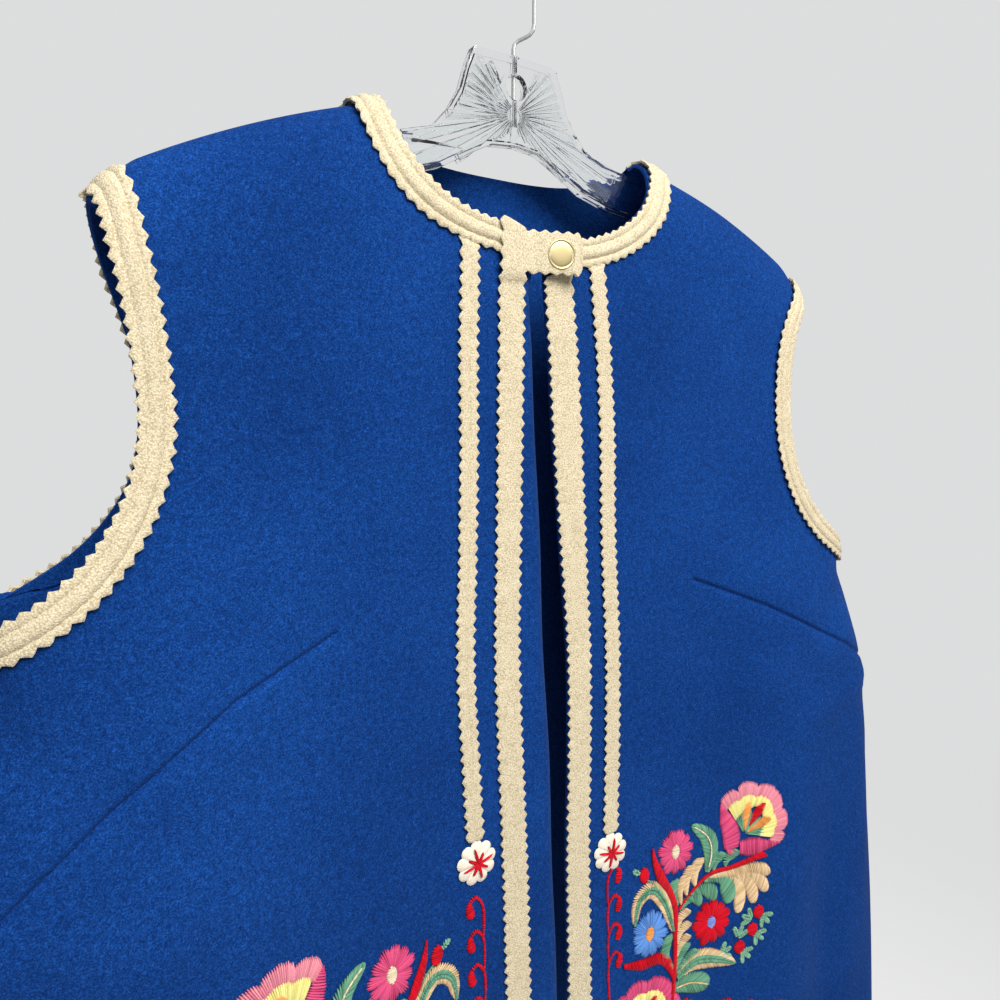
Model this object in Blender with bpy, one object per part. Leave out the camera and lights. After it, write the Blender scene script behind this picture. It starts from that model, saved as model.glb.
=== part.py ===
"""Embroidered folk vest, hung on a clear plastic hanger.

Metres, +Z up, front towards -Y.  The origin is the inside top of the hanger's hook.
"drop" is a depth below the shoulder datum; "reach" is the distance round the body from the
centre line, along the cloth.  Right and left are the wearer's.
"""
import math

import bmesh
import bpy
from mathutils import Matrix, Vector

# ---- driving dimensions -----------------------------------------------------------------
DATUM_Z = -0.104          # height of the shoulder datum; the hook's inside top is at 0
VEST_X = 0.003            # the vest sits this far off the hanger's centre

CLOTH = 0.002             # thickness of the fulled wool
TRIM = 0.0016             # thickness of the felt trims
GAP = 0.0003              # clearance between pieces that touch
TRIM_GAP = 0.00035        # a trim's clearance over the cloth
SEAM = 0.0002             # half the clearance along a shoulder or side seam

PITCH = 0.00594           # one tooth of the pinked edges
TOOTH = 0.0022            # depth of a tooth
OVERHANG = 0.0015         # a trim's teeth stand out past the cloth's raw edge

HEM_DROP = 0.600
NECK_TRIM_W = 0.0158
ARMHOLE_TRIM_W = 0.0152
NECK_STAND = 0.0016       # the neck trim stands up this much over the shoulder ridge
ARMHOLE_LIFT = 0.00015    # more clearance for the armhole trims
UNDERARM_LIFT = 0.0006
SHOULDER_LIFT = 0.0006

INNER_STRIP_W = 0.0122
ROSETTE_R = 0.0118
ROSETTE_H = 0.0024
ROSETTE_LOBES = 9

SNAP_R = 0.0075
SNAP_X = 0.0040
SNAP_DROP = 0.0730
TAB_TOP = 0.0628
TAB_FOOT = 0.0828
TAB_ROOT = -0.0200
TAB_END = 0.0170
LEFT_SINK = 0.0026
TIP_DROOP = 0.0080

TAB_LIFT = 0.0022         # the tab rises this much to lie over the other front's trim
TAB_TILT = math.radians(16)    # the tab and the snap on it turn out of the front by this much
TAB_CURL = 0.25           # how fast its end falls back, past the snap

WIRE_R = 0.0010
WIRE_SIDES = 8
HOOK_R = 0.0200           # to the middle of the wire
HANGER_TOP = 0.0295       # above the datum
HANGER_HALF = 0.0250      # half the width of the hanger's top
HANGER_END = 0.190
WINDOW_R = 0.0066
WINDOW_Z = 0.0150

# Body sections: drop, half width, front at the centre, front at the lobe, back.
SECTION_COLUMNS = ("drop", "half", "centre", "lobe", "back")
SECTIONS = (
    (0.000, 0.262, -0.024, -0.032, 0.020),
    (0.060, 0.262, -0.026, -0.033, 0.024),
    (0.150, 0.262, -0.026, -0.035, 0.030),
    (0.250, 0.264, -0.028, -0.044, 0.036),
    (0.300, 0.278, -0.030, -0.049, 0.038),
    (0.330, 0.287, -0.031, -0.052, 0.040),
    (0.420, 0.299, -0.034, -0.058, 0.043),
    (0.500, 0.305, -0.037, -0.062, 0.046),
    (0.610, 0.311, -0.040, -0.066, 0.050),
)
SIDE_ROUND = 0.045        # how far in from the side the cloth starts to turn back
LOBE_REACH = 0.215
SHOULDER_ROUND = 0.046    # height over which the shoulder rolls over

# Necklines: half width along the shoulder, lowest drop, how square the curve is.
NECK_COLUMNS = ("panel", "half", "low", "power")
NECKS = (
    ("right", 0.0815, 0.0610, 2.5),
    ("left", 0.0765, 0.0645, 2.1),
    ("back_right", 0.0815, 0.0245, 2.4),
    ("back_left", 0.0765, 0.0245, 2.4),
)

# Armhole edges.  tip and narrow are reaches, level and under are drops: the shoulder's end, the
# narrowest point and the underarm.  tuck, high and bend shape the curve above the narrowest
# point, low and sweep the one below it.
ARMHOLE_COLUMNS = ("panel", "tip", "tuck", "high", "bend", "narrow", "level", "low", "sweep",
                   "under")
ARMHOLES = (
    ("right", 0.2045, 0.0066, 0.0881, 0.1319, 0.1932, 0.1495, 0.1922, 0.2271, 0.2363),
    ("left", 0.2125, 0.0200, 0.0880, 0.1050, 0.1866, 0.1500, 0.2010, 0.2190, 0.2473),
    ("back_right", 0.2045, 0.0080, 0.0920, 0.1250, 0.1840, 0.1500, 0.1960, 0.2250, 0.2363),
    ("back_left", 0.2125, 0.0160, 0.0900, 0.1120, 0.1860, 0.1520, 0.2040, 0.2200, 0.2473),
)

# Strips beside the front edges: drop, middle and width of each wide strip, middle of each
# narrow strip, and the cloth from each wide strip to the front edge.
STRIP_COLUMNS = ("drop", "right", "right_width", "left", "left_width", "right_inner", "left_inner",
                 "right_margin", "left_margin")
STRIPS = (
    (0.0605, -0.0212, 0.0172, 0.0060, 0.0194, -0.0452, 0.0305, 0.0045, -0.0015),
    (0.0850, -0.0216, 0.0172, 0.0072, 0.0198, -0.0457, 0.0335, 0.0045, -0.0015),
    (0.1200, -0.0218, 0.0172, 0.0108, 0.0206, -0.0466, 0.0377, 0.0075, -0.0015),
    (0.1600, -0.0225, 0.0172, 0.0138, 0.0210, -0.0467, 0.0408, 0.0100, -0.0015),
    (0.2200, -0.0241, 0.0172, 0.0176, 0.0194, -0.0485, 0.0421, 0.0150, -0.0015),
    (0.2800, -0.0260, 0.0174, 0.0210, 0.0178, -0.0512, 0.0446, 0.0178, -0.0015),
    (0.3400, -0.0248, 0.0176, 0.0208, 0.0176, -0.0492, 0.0442, 0.0198, -0.0015),
    (0.4000, -0.0233, 0.0178, 0.0192, 0.0180, -0.0468, 0.0424, 0.0190, -0.0015),
    (0.4600, -0.0228, 0.0178, 0.0193, 0.0182, -0.0460, 0.0418, 0.0205, -0.0015),
    (0.6100, -0.0215, 0.0178, 0.0190, 0.0182, -0.0450, 0.0410, 0.0190, -0.0015),
)
STRIP_END = {"right": 0.3690, "left": 0.3930}    # where each narrow strip meets its rosette

# Soft folds: panel, reach, first drop, full drop, depth, half width.
FOLDS = (
    ("left", 0.218, 0.360, 0.520, 0.0055, 0.022),
    ("left", 0.118, 0.430, 0.600, 0.0025, 0.026),
    ("right", -0.206, 0.340, 0.540, 0.0045, 0.024),
    ("right", -0.104, 0.440, 0.600, 0.0022, 0.028),
    ("back", -0.140, 0.300, 0.560, 0.0055, 0.034),
    ("back", 0.065, 0.330, 0.590, 0.0045, 0.030),
    ("back", 0.195, 0.380, 0.560, 0.0050, 0.028),
)

MATERIALS = {
    "wool": ((0.006, 0.045, 0.26), 0.95, 0.0),
    "felt": ((0.82, 0.74, 0.52), 0.95, 0.0),
    "brass": ((0.50, 0.42, 0.22), 0.35, 1.0),
    "clear": ((0.85, 0.88, 0.90), 0.10, 0.0),
    "steel": ((0.45, 0.46, 0.46), 0.30, 1.0),
    "white_wool": ((0.88, 0.84, 0.76), 0.90, 0.0),
}


# ---- small tools ------------------------------------------------------------------------
def material(name):
    mat = bpy.data.materials.get(name)
    if mat is None:
        mat = bpy.data.materials.new(name)
        mat.use_nodes = True
        colour, rough, metal = MATERIALS[name]
        shader = mat.node_tree.nodes["Principled BSDF"]
        shader.inputs["Base Color"].default_value = (*colour, 1.0)
        shader.inputs["Roughness"].default_value = rough
        shader.inputs["Metallic"].default_value = metal
    return mat


def add_object(name, bm, mat, smooth=True):
    bmesh.ops.recalc_face_normals(bm, faces=bm.faces[:])
    mesh = bpy.data.meshes.new(name)
    bm.to_mesh(mesh)
    bm.free()
    if smooth:
        mesh.shade_smooth()
        mesh.set_sharp_from_angle(angle=math.radians(40))
    mesh.materials.append(material(mat))
    obj = bpy.data.objects.new(name, mesh)
    bpy.context.scene.collection.objects.link(obj)
    return obj


def smooth_table(rows, columns, key, drop):
    """Value of one column at a drop, eased between the rows by a Catmull-Rom curve."""
    k = columns.index(key)
    last = len(rows) - 1
    if drop <= rows[0][0]:
        return rows[0][k]
    if drop >= rows[last][0]:
        return rows[last][k]
    i = max(n for n in range(last) if rows[n][0] <= drop)
    x0, x1 = rows[i][0], rows[i + 1][0]
    y0, y1 = rows[i][k], rows[i + 1][k]

    def slope(n):
        a, b = max(n - 1, 0), min(n + 1, last)
        return (rows[b][k] - rows[a][k]) / (rows[b][0] - rows[a][0])

    t = (drop - x0) / (x1 - x0)
    m0, m1 = slope(i) * (x1 - x0), slope(i + 1) * (x1 - x0)
    return ((2 * t**3 - 3 * t**2 + 1) * y0 + (t**3 - 2 * t**2 + t) * m0
            + (-2 * t**3 + 3 * t**2) * y1 + (t**3 - t**2) * m1)


def section(key, drop):
    return smooth_table(SECTIONS, SECTION_COLUMNS, key, drop)


def ease(t):
    t = min(1.0, max(0.0, t))
    return t * t * (3 - 2 * t)


def bezier(p0, p1, p2, p3, t):
    s = 1 - t
    return tuple(s**3 * a + 3 * s * s * t * b + 3 * s * t * t * c + t**3 * d
                 for a, b, c, d in zip(p0, p1, p2, p3))


# ---- the vest's surface -----------------------------------------------------------------
def shoulder_drop(reach):
    """Drop of the shoulder line, which falls faster towards the arm and droops past the
    hanger's end; the wearer's left is a little lower beside the neck."""
    out = abs(reach) - 0.085
    sink = LEFT_SINK * (1 - ease((out + 0.010) / 0.070)) if reach > 0 else 0.0
    droop = TIP_DROOP * ease((abs(reach) - 0.186) / 0.0245)
    return 0.0105 + 0.31 * out + 1.25 * out * abs(out) + sink + droop


def shoulder_y(reach):
    """The shoulder line swings forward towards the arms."""
    return -0.004 - 0.014 * ease((abs(reach) - 0.06) / 0.16)


def fold_depth(panel, reach, drop):
    total = 0.0
    for name, at, first, full, depth, spread in FOLDS:
        if name == panel:
            grow = ease((drop - first) / (full - first))
            total += depth * grow * math.exp(-((reach - at) / spread) ** 2)
    return total


def side_arc(depth):
    """Length of the rounded stretch that turns the cloth to the side seam."""
    return math.pi / 2 * math.sqrt((SIDE_ROUND**2 + depth**2) / 2)


def panel_depth(panel, across, drop):
    if panel == "back":
        return section("back", drop)
    centre, lobe = section("centre", drop), section("lobe", drop)
    out = min(1.0, across / LOBE_REACH)
    return centre + (lobe - centre) * out**3 * (4 - 3 * out)


def full_reach(panel, drop):
    """Reach of the side seam."""
    flat = section("half", drop) - SIDE_ROUND
    return flat + side_arc(panel_depth(panel, LOBE_REACH, drop))


def surface(panel, reach, drop):
    """Point on the cloth's outer face.  reach is signed: + is the wearer's left."""
    sign = -1.0 if reach < 0 else 1.0
    across = abs(reach)
    flat = section("half", drop) - SIDE_ROUND
    if across <= flat:
        x, y = across, panel_depth(panel, across, drop)
    else:
        depth = panel_depth(panel, LOBE_REACH, drop)
        turn = (across - flat) / side_arc(depth) * math.pi / 2
        x = flat + SIDE_ROUND * math.sin(turn)
        y = panel_depth(panel, across, drop) * math.cos(turn)
    side = -1.0 if panel != "back" else 1.0
    y -= side * fold_depth(panel, reach, drop)
    below = max(0.0, drop - shoulder_drop(reach)) / SHOULDER_ROUND
    roll = math.sqrt(1 - (1 - below) ** 2) if below < 1 else 1.0
    ridge = shoulder_y(reach)
    y = ridge + (y - ridge) * roll + side * SEAM
    return Vector((sign * x + VEST_X, y, DATUM_Z - drop))


def surface_normal(panel, reach, drop):
    step = 1e-5
    drop = max(drop, shoulder_drop(reach) + step)
    along = surface(panel, reach + step, drop) - surface(panel, reach - step, drop)
    down = surface(panel, reach, drop + step) - surface(panel, reach, drop)
    normal = along.cross(down).normalized()
    return normal if panel == "back" else -normal


# ---- edges of the pattern pieces ----------------------------------------------------------
def face_of(panel):
    return panel.split("_")[0]


def strip_value(key, drop):
    return smooth_table(STRIPS, STRIP_COLUMNS, key, drop)


def edge_reach(side, drop):
    """The front edge, a margin of cloth beyond the wide strip."""
    out = strip_value(side + "_width", drop) / 2 + strip_value(side + "_margin", drop)
    return strip_value(side, drop) + (out if side == "right" else -out)


def neck_value(panel, key):
    row = next(row for row in NECKS if row[0] == panel)
    return row[NECK_COLUMNS.index(key)]


def neckline(panel, angle, inset):
    """Point (reach, drop) of a half neckline, or of a line inset into the cloth, at an angle
    from the centre (0) to the shoulder (90 degrees)."""
    half = neck_value(panel, "half") + inset
    low = neck_value(panel, "low") + inset
    power = 2 / neck_value(panel, "power")
    top = shoulder_drop(half if panel.endswith("left") else -half)
    return half * math.sin(angle) ** power, top + (low - top) * max(0.0, math.cos(angle)) ** power


def neck_angle(panel, reach, inset=0.0):
    """Angle at which a half neckline passes a reach."""
    share = reach / (neck_value(panel, "half") + inset)
    return math.asin(share ** (neck_value(panel, "power") / 2))


def armhole_value(panel, key):
    row = next(row for row in ARMHOLES if row[0] == panel)
    return row[ARMHOLE_COLUMNS.index(key)]


def tip_drop(panel):
    """Drop of the shoulder's end."""
    tip = armhole_value(panel, "tip")
    return shoulder_drop(tip if panel.endswith("left") else -tip)


def armhole(panel, t):
    """Point (reach, drop) of the armhole edge, from the shoulder (0) to the side seam (1)."""
    tip, tuck, high, bend, narrow, level, low, sweep, under = (
        armhole_value(panel, key) for key in ARMHOLE_COLUMNS[1:])
    if t < 0.4:
        return bezier((tip, tip_drop(panel)), (tip - tuck, high), (narrow, bend),
                      (narrow, level), t / 0.4)
    return bezier((narrow, level), (narrow, low), (sweep, under),
                  (full_reach(face_of(panel), under), under), (t - 0.4) / 0.6)


def armhole_inset(panel, t, inset):
    """The armhole edge moved into the cloth, square to itself."""
    step = 1e-4
    t0, t1 = max(0.0, t - step), min(1.0, t + step)
    (r0, d0), (r1, d1) = armhole(panel, t0), armhole(panel, t1)
    along = Vector((r1 - r0, d1 - d0)).normalized()
    reach, drop = armhole(panel, t)
    square = Vector((-along.y, along.x))
    inwards = Vector((-0.84, -0.54))                # along the shoulder line, towards the neck
    turn = ease(1 - t / 0.12)
    into = (square * (1 - turn) + inwards * turn).normalized()
    reach, drop = reach + into.x * inset, drop + into.y * inset
    if t < 0.12:
        ridge = shoulder_drop(reach if panel.endswith("left") else -reach)
        drop = drop + (ridge - drop) * turn
    return reach, drop


# ---- cloth walls ---------------------------------------------------------------------------
def wall_from_grid(name, grid, thickness, mat):
    """Closed wall from rows of (outer point, normal)."""
    bm = bmesh.new()
    rows, cols = len(grid), len(grid[0])
    outer = [[bm.verts.new(p) for p, n in row] for row in grid]
    inner = [[bm.verts.new(p - n * thickness) for p, n in row] for row in grid]
    for i in range(rows - 1):
        for j in range(cols - 1):
            bm.faces.new((outer[i][j], outer[i][j + 1], outer[i + 1][j + 1], outer[i + 1][j]))
            bm.faces.new((inner[i][j], inner[i + 1][j], inner[i + 1][j + 1], inner[i][j + 1]))
    rim = [(0, j) for j in range(cols)] + [(i, cols - 1) for i in range(1, rows)]
    rim += [(rows - 1, j) for j in range(cols - 2, -1, -1)] + [(i, 0) for i in range(rows - 2, 0, -1)]
    for (a, b), (c, d) in zip(rim, rim[1:] + rim[:1]):
        bm.faces.new((outer[a][b], inner[a][b], inner[c][d], outer[c][d]))
    bmesh.ops.triangulate(bm, faces=[f for f in bm.faces if len(f.verts) == 4])
    return add_object(name, bm, mat)


ROW_UNDERARM, ROW_NECK = 0.60, 0.80     # rows that carry the underarm and the neck corner


def panel_rows():
    """Heights of the grid rows from hem (0) to shoulder (1), closer together under the arm and
    where the shoulder rolls over."""
    low = [ROW_UNDERARM * (1 - (1 - i / 11) ** 1.25) for i in range(11)]
    middle = [ROW_UNDERARM + (ROW_NECK - ROW_UNDERARM) * i / 5 for i in range(5)]
    top = [1 - (1 - ROW_NECK) * (1 - i / 8) ** 1.9 for i in range(9)]
    return low + middle + top


def side_boundary(panel, v):
    """Side seam from the hem to the underarm, then the armhole up to the shoulder."""
    under = armhole_value(panel, "under")
    if v <= ROW_UNDERARM:
        drop = HEM_DROP + (under - HEM_DROP) * v / ROW_UNDERARM
        return full_reach(face_of(panel), drop), drop
    return armhole(panel, 1 - (v - ROW_UNDERARM) / (1 - ROW_UNDERARM))


def front_boundary(side, v):
    """Front edge from the hem to the neck corner, then the neckline up to the shoulder."""
    low = neck_value(side, "low")
    if v <= ROW_NECK:
        drop = HEM_DROP + (low - HEM_DROP) * v / ROW_NECK
        return abs_edge(side, drop), drop
    start = neck_angle(side, max(0.0, abs_edge(side, low)))
    turn = (v - ROW_NECK) / (1 - ROW_NECK)
    return neckline(side, start + (math.pi / 2 - start) * turn, 0.0)


def abs_edge(side, drop):
    """Front edge measured from the centre towards its own side."""
    return edge_reach(side, drop) * (-1 if side == "right" else 1)


def front_point(side, s, v):
    """(reach, drop) inside a front: s from its edge to the side, v from hem to shoulder."""
    (r0, d0), (r1, d1) = front_boundary(side, v), side_boundary(side, v)
    (c0, e0), (c1, e1) = front_boundary(side, 1.0), side_boundary(side, 1.0)
    reach, drop = r0 + (r1 - r0) * s, d0 + (d1 - d0) * s
    shoulder = c0 + (c1 - c0) * s
    lift = shoulder_drop(-shoulder if side == "right" else shoulder) - (e0 + (e1 - e0) * s)
    return reach, drop + lift * ease((v - ROW_NECK) / (1 - ROW_NECK))


NECK_SHARE = 0.38         # share of the back's half width that ends at the neckline


def back_point(s, v):
    """(reach, drop) inside the back: s from -1 to 1 across, v from hem to neckline."""
    share = (s + 1) / 2
    (r0, d0), (r1, d1) = side_boundary("back_right", v), side_boundary("back_left", v)
    reach, drop = r0 + (r1 - r0) * share, d0 + (d1 - d0) * share
    tip = tuple(a + (b - a) * share for a, b in zip(
        (armhole_value("back_right", "tip"), tip_drop("back_right")),
        (armhole_value("back_left", "tip"), tip_drop("back_left"))))
    half_name = "back_right" if s < 0 else "back_left"
    if abs(s) < NECK_SHARE:
        top_reach, top_drop = neckline(half_name, math.pi / 2 * abs(s) / NECK_SHARE, 0.0)
    else:
        out = (abs(s) - NECK_SHARE) / (1 - NECK_SHARE)
        half = neck_value(half_name, "half")
        top_reach = half + (armhole_value(half_name, "tip") - half) * out
        top_drop = shoulder_drop(math.copysign(top_reach, s))
    top_reach = math.copysign(top_reach, s)
    blend = v * v
    return (s * reach + blend * (top_reach - s * tip[0]),
            drop + blend * (top_drop - tip[1]))


def make_front(side):
    sign = -1 if side == "right" else 1
    grid = []
    for v in panel_rows():
        row = []
        for i in range(15):
            s = 1 - (1 - i / 14) ** 1.12
            reach, drop = front_point(side, s, v)
            row.append((surface(side, sign * reach, drop), surface_normal(side, sign * reach, drop)))
        grid.append(row)
    return wall_from_grid("front_" + side, grid, CLOTH, "wool")


BACK_COLUMNS = [NECK_SHARE * i / 5 for i in range(5)] + [NECK_SHARE + (1 - NECK_SHARE) * i / 7
                                                         for i in range(8)]


def make_back():
    grid = []
    for v in panel_rows():
        row = []
        for i in range(-12, 13):
            reach, drop = back_point(BACK_COLUMNS[abs(i)] * (-1 if i < 0 else 1), v)
            row.append((surface("back", reach, drop), surface_normal("back", reach, drop)))
        grid.append(row)
    return wall_from_grid("back", grid, CLOTH, "wool")


# ---- pinked trims ----------------------------------------------------------------------------
def toothed_band(name, place, length, width, lift=None, closed=False):
    """A felt band with pinked edges.  place(t, across) gives (point, normal) at a share t of
    the band's length; across runs from 0 to width(t)."""
    teeth = round(length / PITCH)
    steps = 2 * teeth
    grid = []
    for i in range(steps if closed else steps + 1):
        t = i / steps
        bite = TOOTH if i % 2 else 0.0
        rise = lift(t) if lift else 0.0
        row = []
        for across in (bite, width(t) - bite):
            point, normal = place(t, across)
            row.append((point + normal * (TRIM_GAP + rise + TRIM), normal))
        grid.append(row)
    if not closed:
        return wall_from_grid(name, grid, TRIM, "felt")
    return ring_from_rows(name, grid, TRIM, "felt")


def ring_from_rows(name, grid, thickness, mat):
    """Closed wall whose last row joins its first."""
    bm = bmesh.new()
    outer = [[bm.verts.new(p) for p, n in row] for row in grid]
    inner = [[bm.verts.new(p - n * thickness) for p, n in row] for row in grid]
    for i in range(len(grid)):
        k = (i + 1) % len(grid)
        loop = (outer[i][0], outer[i][1], inner[i][1], inner[i][0])
        turn = (outer[k][0], outer[k][1], inner[k][1], inner[k][0])
        for a in range(4):
            b = (a + 1) % 4
            bm.faces.new((loop[a], loop[b], turn[b], turn[a]))
    bmesh.ops.triangulate(bm, faces=bm.faces[:])
    return add_object(name, bm, mat)


def even_path(point_at, samples=400):
    """Length of a path in space and a function from its share of length to its parameter."""
    points = [point_at(i / samples) for i in range(samples + 1)]
    sums = [0.0]
    for a, b in zip(points, points[1:]):
        sums.append(sums[-1] + (b - a).length)
    total = sums[-1]

    def parameter(share):
        goal = share * total
        i = min(samples - 1, max(n for n in range(samples + 1) if sums[n] <= goal + 1e-12))
        span = sums[i + 1] - sums[i] or 1.0
        return (i + (goal - sums[i]) / span) / samples

    return total, parameter


def make_strip(name, side, middle, width, first, last, lift=None):
    """A band beside a front edge, between two drops; middle names its column, width(drop) is
    its width."""
    sign = -1 if side == "right" else 1

    def drop_at(t):
        return first + (last - first) * t

    def place(t, across):
        reach = strip_value(middle, drop_at(t)) + sign * (across - width(drop_at(t)) / 2)
        return surface(side, reach, drop_at(t)), surface_normal(side, reach, drop_at(t))

    return toothed_band(name, place, last - first, lambda t: width(drop_at(t)), lift)


def neck_place(t, across):
    """Round the neck from the right front over the back to the left front (t from 0 to 1).
    Its teeth stand out past the fronts' raw edge, and stop just short of the back's."""
    quarter = t * 4
    past = OVERHANG * (1 - ease((1.25 - abs(quarter - 2)) / 0.25)) - 0.0004
    inset = across - past
    if quarter < 1:
        panel, sign = "right", -1
        start = neck_angle(panel, GAP - TAB_ROOT)
        angle = start + (math.pi / 2 - start) * quarter
    elif quarter < 3:
        sign = -1 if quarter < 2 else 1
        panel = "back_right" if sign < 0 else "back_left"
        angle = math.pi / 2 * abs(2 - quarter)
    else:
        panel, sign = "left", 1
        start = neck_angle(panel, 0.0010)
        angle = math.pi / 2 - (math.pi / 2 - start) * (quarter - 3)
    reach, drop = neckline(panel, angle, inset)
    face = face_of(panel)
    normal = surface_normal(face, sign * reach, drop)
    stand = NECK_STAND * (1 - ease(abs(abs(quarter - 2) - 1) / 0.22))
    return surface(face, sign * reach, drop) + normal * stand, normal


def make_neck_trim():
    middle = NECK_TRIM_W / 2
    total, parameter = even_path(lambda t: neck_place(min(t, 0.999999), middle)[0])
    return toothed_band("neck_trim", lambda t, a: neck_place(min(parameter(t), 0.999999), a),
                        total, lambda t: NECK_TRIM_W)


def armhole_lift(t):
    """The flat band stands off a little more where the side rounds away under it, and where it
    crosses the shoulder."""
    away = abs(t - 0.5)
    return (ARMHOLE_LIFT + UNDERARM_LIFT * ease((0.36 - away) / 0.12)
            + SHOULDER_LIFT * ease((away - 0.42) / 0.05))


def make_armhole_trim(side):
    sign = -1 if side == "right" else 1

    def place(t, across):
        half = (t % 1.0) * 2
        panel = side if half < 1 else "back_" + side
        along = half if half < 1 else 2 - half
        reach, drop = armhole_inset(panel, along, across - OVERHANG)
        face = face_of(panel)
        return surface(face, sign * reach, drop), surface_normal(face, sign * reach, drop)

    total, parameter = even_path(lambda t: place(min(t, 0.999999), ARMHOLE_TRIM_W / 2)[0])
    return toothed_band("armhole_trim_" + side, lambda t, a: place(parameter(t), a),
                        total, lambda t: ARMHOLE_TRIM_W, armhole_lift, closed=True)


def tab_tilt(reach):
    """How far the slope under the snap carries the tab outwards."""
    run = 2 * SNAP_R * math.cos(TAB_TILT)
    along = reach - (SNAP_X - run / 2)
    return math.tan(TAB_TILT) * min(max(0.0, along), run) - TAB_CURL * max(0.0, along - run)


def make_tab():
    """The closure tab: flat on the right front, then raised over the left front's trim."""
    top, foot = TAB_TOP - 0.0006, TAB_FOOT
    count = 24
    grid = []
    for i in range(count + 1):
        reach = TAB_ROOT + (TAB_END - TAB_ROOT) * i / count
        rise = TRIM_GAP + TRIM + TAB_LIFT * ease((reach + 0.0112) / 0.0075) + tab_tilt(reach)
        end = max(0.0, (reach - TAB_END + 0.004) / 0.004)
        pull = 0.0035 * (1 - math.sqrt(max(0.0, 1 - end * end)))
        side = "right" if reach < 0 else "left"
        row = []
        for drop in (top + pull, (top + foot) / 2, foot - pull):
            base = surface(side, reach, drop)
            base.y -= rise
            row.append((base, Vector((0, -1, 0))))
        grid.append(row)
    return wall_from_grid("closure_tab", grid, TRIM, "felt")


# ---- rosettes and the snap ---------------------------------------------------------------------
def make_rosette(side):
    """A small felt flower on the end of a narrow strip: a lobed, slightly domed disc."""
    drop = STRIP_END[side] + GAP + ROSETTE_R
    reach = strip_value(side + "_inner", drop)
    centre, normal = surface(side, reach, drop), surface_normal(side, reach, drop)
    across = Vector((0, 0, 1)).cross(normal).normalized()
    up = normal.cross(across)
    bm = bmesh.new()
    around = ROSETTE_LOBES * 4
    rings = []
    for share, height in ((1.0, 0.0), (1.0, 0.55), (0.86, 1.0), (0.35, 0.9)):
        ring = []
        for k in range(around):
            angle = 2 * math.pi * k / around + math.pi / 2
            lobe = abs(math.cos(ROSETTE_LOBES * (angle - math.pi / 2) / 2))
            radius = ROSETTE_R * share * (0.86 + 0.14 * lobe ** 0.6)
            lift = TRIM_GAP + 0.0002 + ROSETTE_H * height
            offset = across * math.cos(angle) * radius + up * math.sin(angle) * radius
            ring.append(bm.verts.new(centre + offset + normal * lift))
        rings.append(ring)
    for low, high in zip(rings, rings[1:]):
        for k in range(around):
            m = (k + 1) % around
            bm.faces.new((low[k], low[m], high[m], high[k]))
    bm.faces.new(rings[0])
    bm.faces.new(rings[-1])
    bmesh.ops.triangulate(bm, faces=bm.faces[:])
    return add_object("rosette_" + side, bm, "white_wool")


def turned(name, profile, centre, mat, segments=24):
    """A turned piece on an axis along Y, from (radius, y) pairs; both ends lie on the axis."""
    bm = bmesh.new()
    rings = []
    for radius, y in profile:
        if radius == 0:
            rings.append([bm.verts.new(centre + Vector((0, y, 0)))])
            continue
        ring = []
        for k in range(segments):
            angle = 2 * math.pi * k / segments
            ring.append(bm.verts.new(centre + Vector((radius * math.cos(angle), y,
                                                      radius * math.sin(angle)))))
        rings.append(ring)
    for a, b in zip(rings, rings[1:]):
        for k in range(segments):
            m = (k + 1) % segments
            if len(a) == 1:
                bm.faces.new((a[0], b[m], b[k]))
            elif len(b) == 1:
                bm.faces.new((a[k], a[m], b[0]))
            else:
                bm.faces.new((a[k], a[m], b[m], b[k]))
    bmesh.ops.triangulate(bm, faces=bm.faces[:])
    return add_object(name, bm, mat)


def make_snap():
    """The cap stands parallel to the tilted tab, its inner rim just clear of it."""
    base = surface("left", SNAP_X, SNAP_DROP)
    front = base.y - TRIM_GAP - TRIM - TAB_LIFT - GAP / math.cos(TAB_TILT)
    front -= SNAP_R * math.sin(TAB_TILT)
    cap = turned("snap_cap", ((0, 0), (SNAP_R * 0.9, 0), (SNAP_R, -0.0006),
                              (SNAP_R * 0.97, -0.0013), (SNAP_R * 0.80, -0.0020),
                              (SNAP_R * 0.45, -0.0024), (0, -0.0025)), Vector(), "brass")
    cap.data.transform(Matrix.Translation((base.x, front, base.z))
                       @ Matrix.Rotation(-TAB_TILT, 4, "Z"))


# ---- hanger --------------------------------------------------------------------------------------
# Half outline of the hanger: x, height over the datum.  Upper side from the top's corner out to
# the arm's end, lower side back to the arch.
HANGER_UPPER = ((HANGER_HALF, HANGER_TOP), (0.0290, 0.0200), (0.0325, 0.0085), (0.0385, -0.0010),
                (0.0475, -0.0095), (0.0595, -0.0150), (0.0730, -0.0178), (0.0865, -0.0190))
HANGER_LOWER = ((0.0860, -0.0418), (0.0640, -0.0380), (0.0440, -0.0310), (0.0280, -0.0220),
                (0.0150, -0.0152), (0.0, -0.0137))
ARM_CLEAR = 0.0041        # from the cloth's outer face down to the arm
ARM_START = 0.100
ARM_SINK = 0.0030
ARM_HEIGHT = 0.0215
ARM_END_HEIGHT = 0.0130
BLOCK_THICK = 0.0060
ARM_THICK = 0.0040
WEB_THICK = 0.0030
RIM = 0.0022
BARREL_R = 0.0027
BORE_R = WIRE_R + GAP
WIRE_FOOT = -0.0040       # where the wire ends in the lower barrel, over the datum


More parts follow.
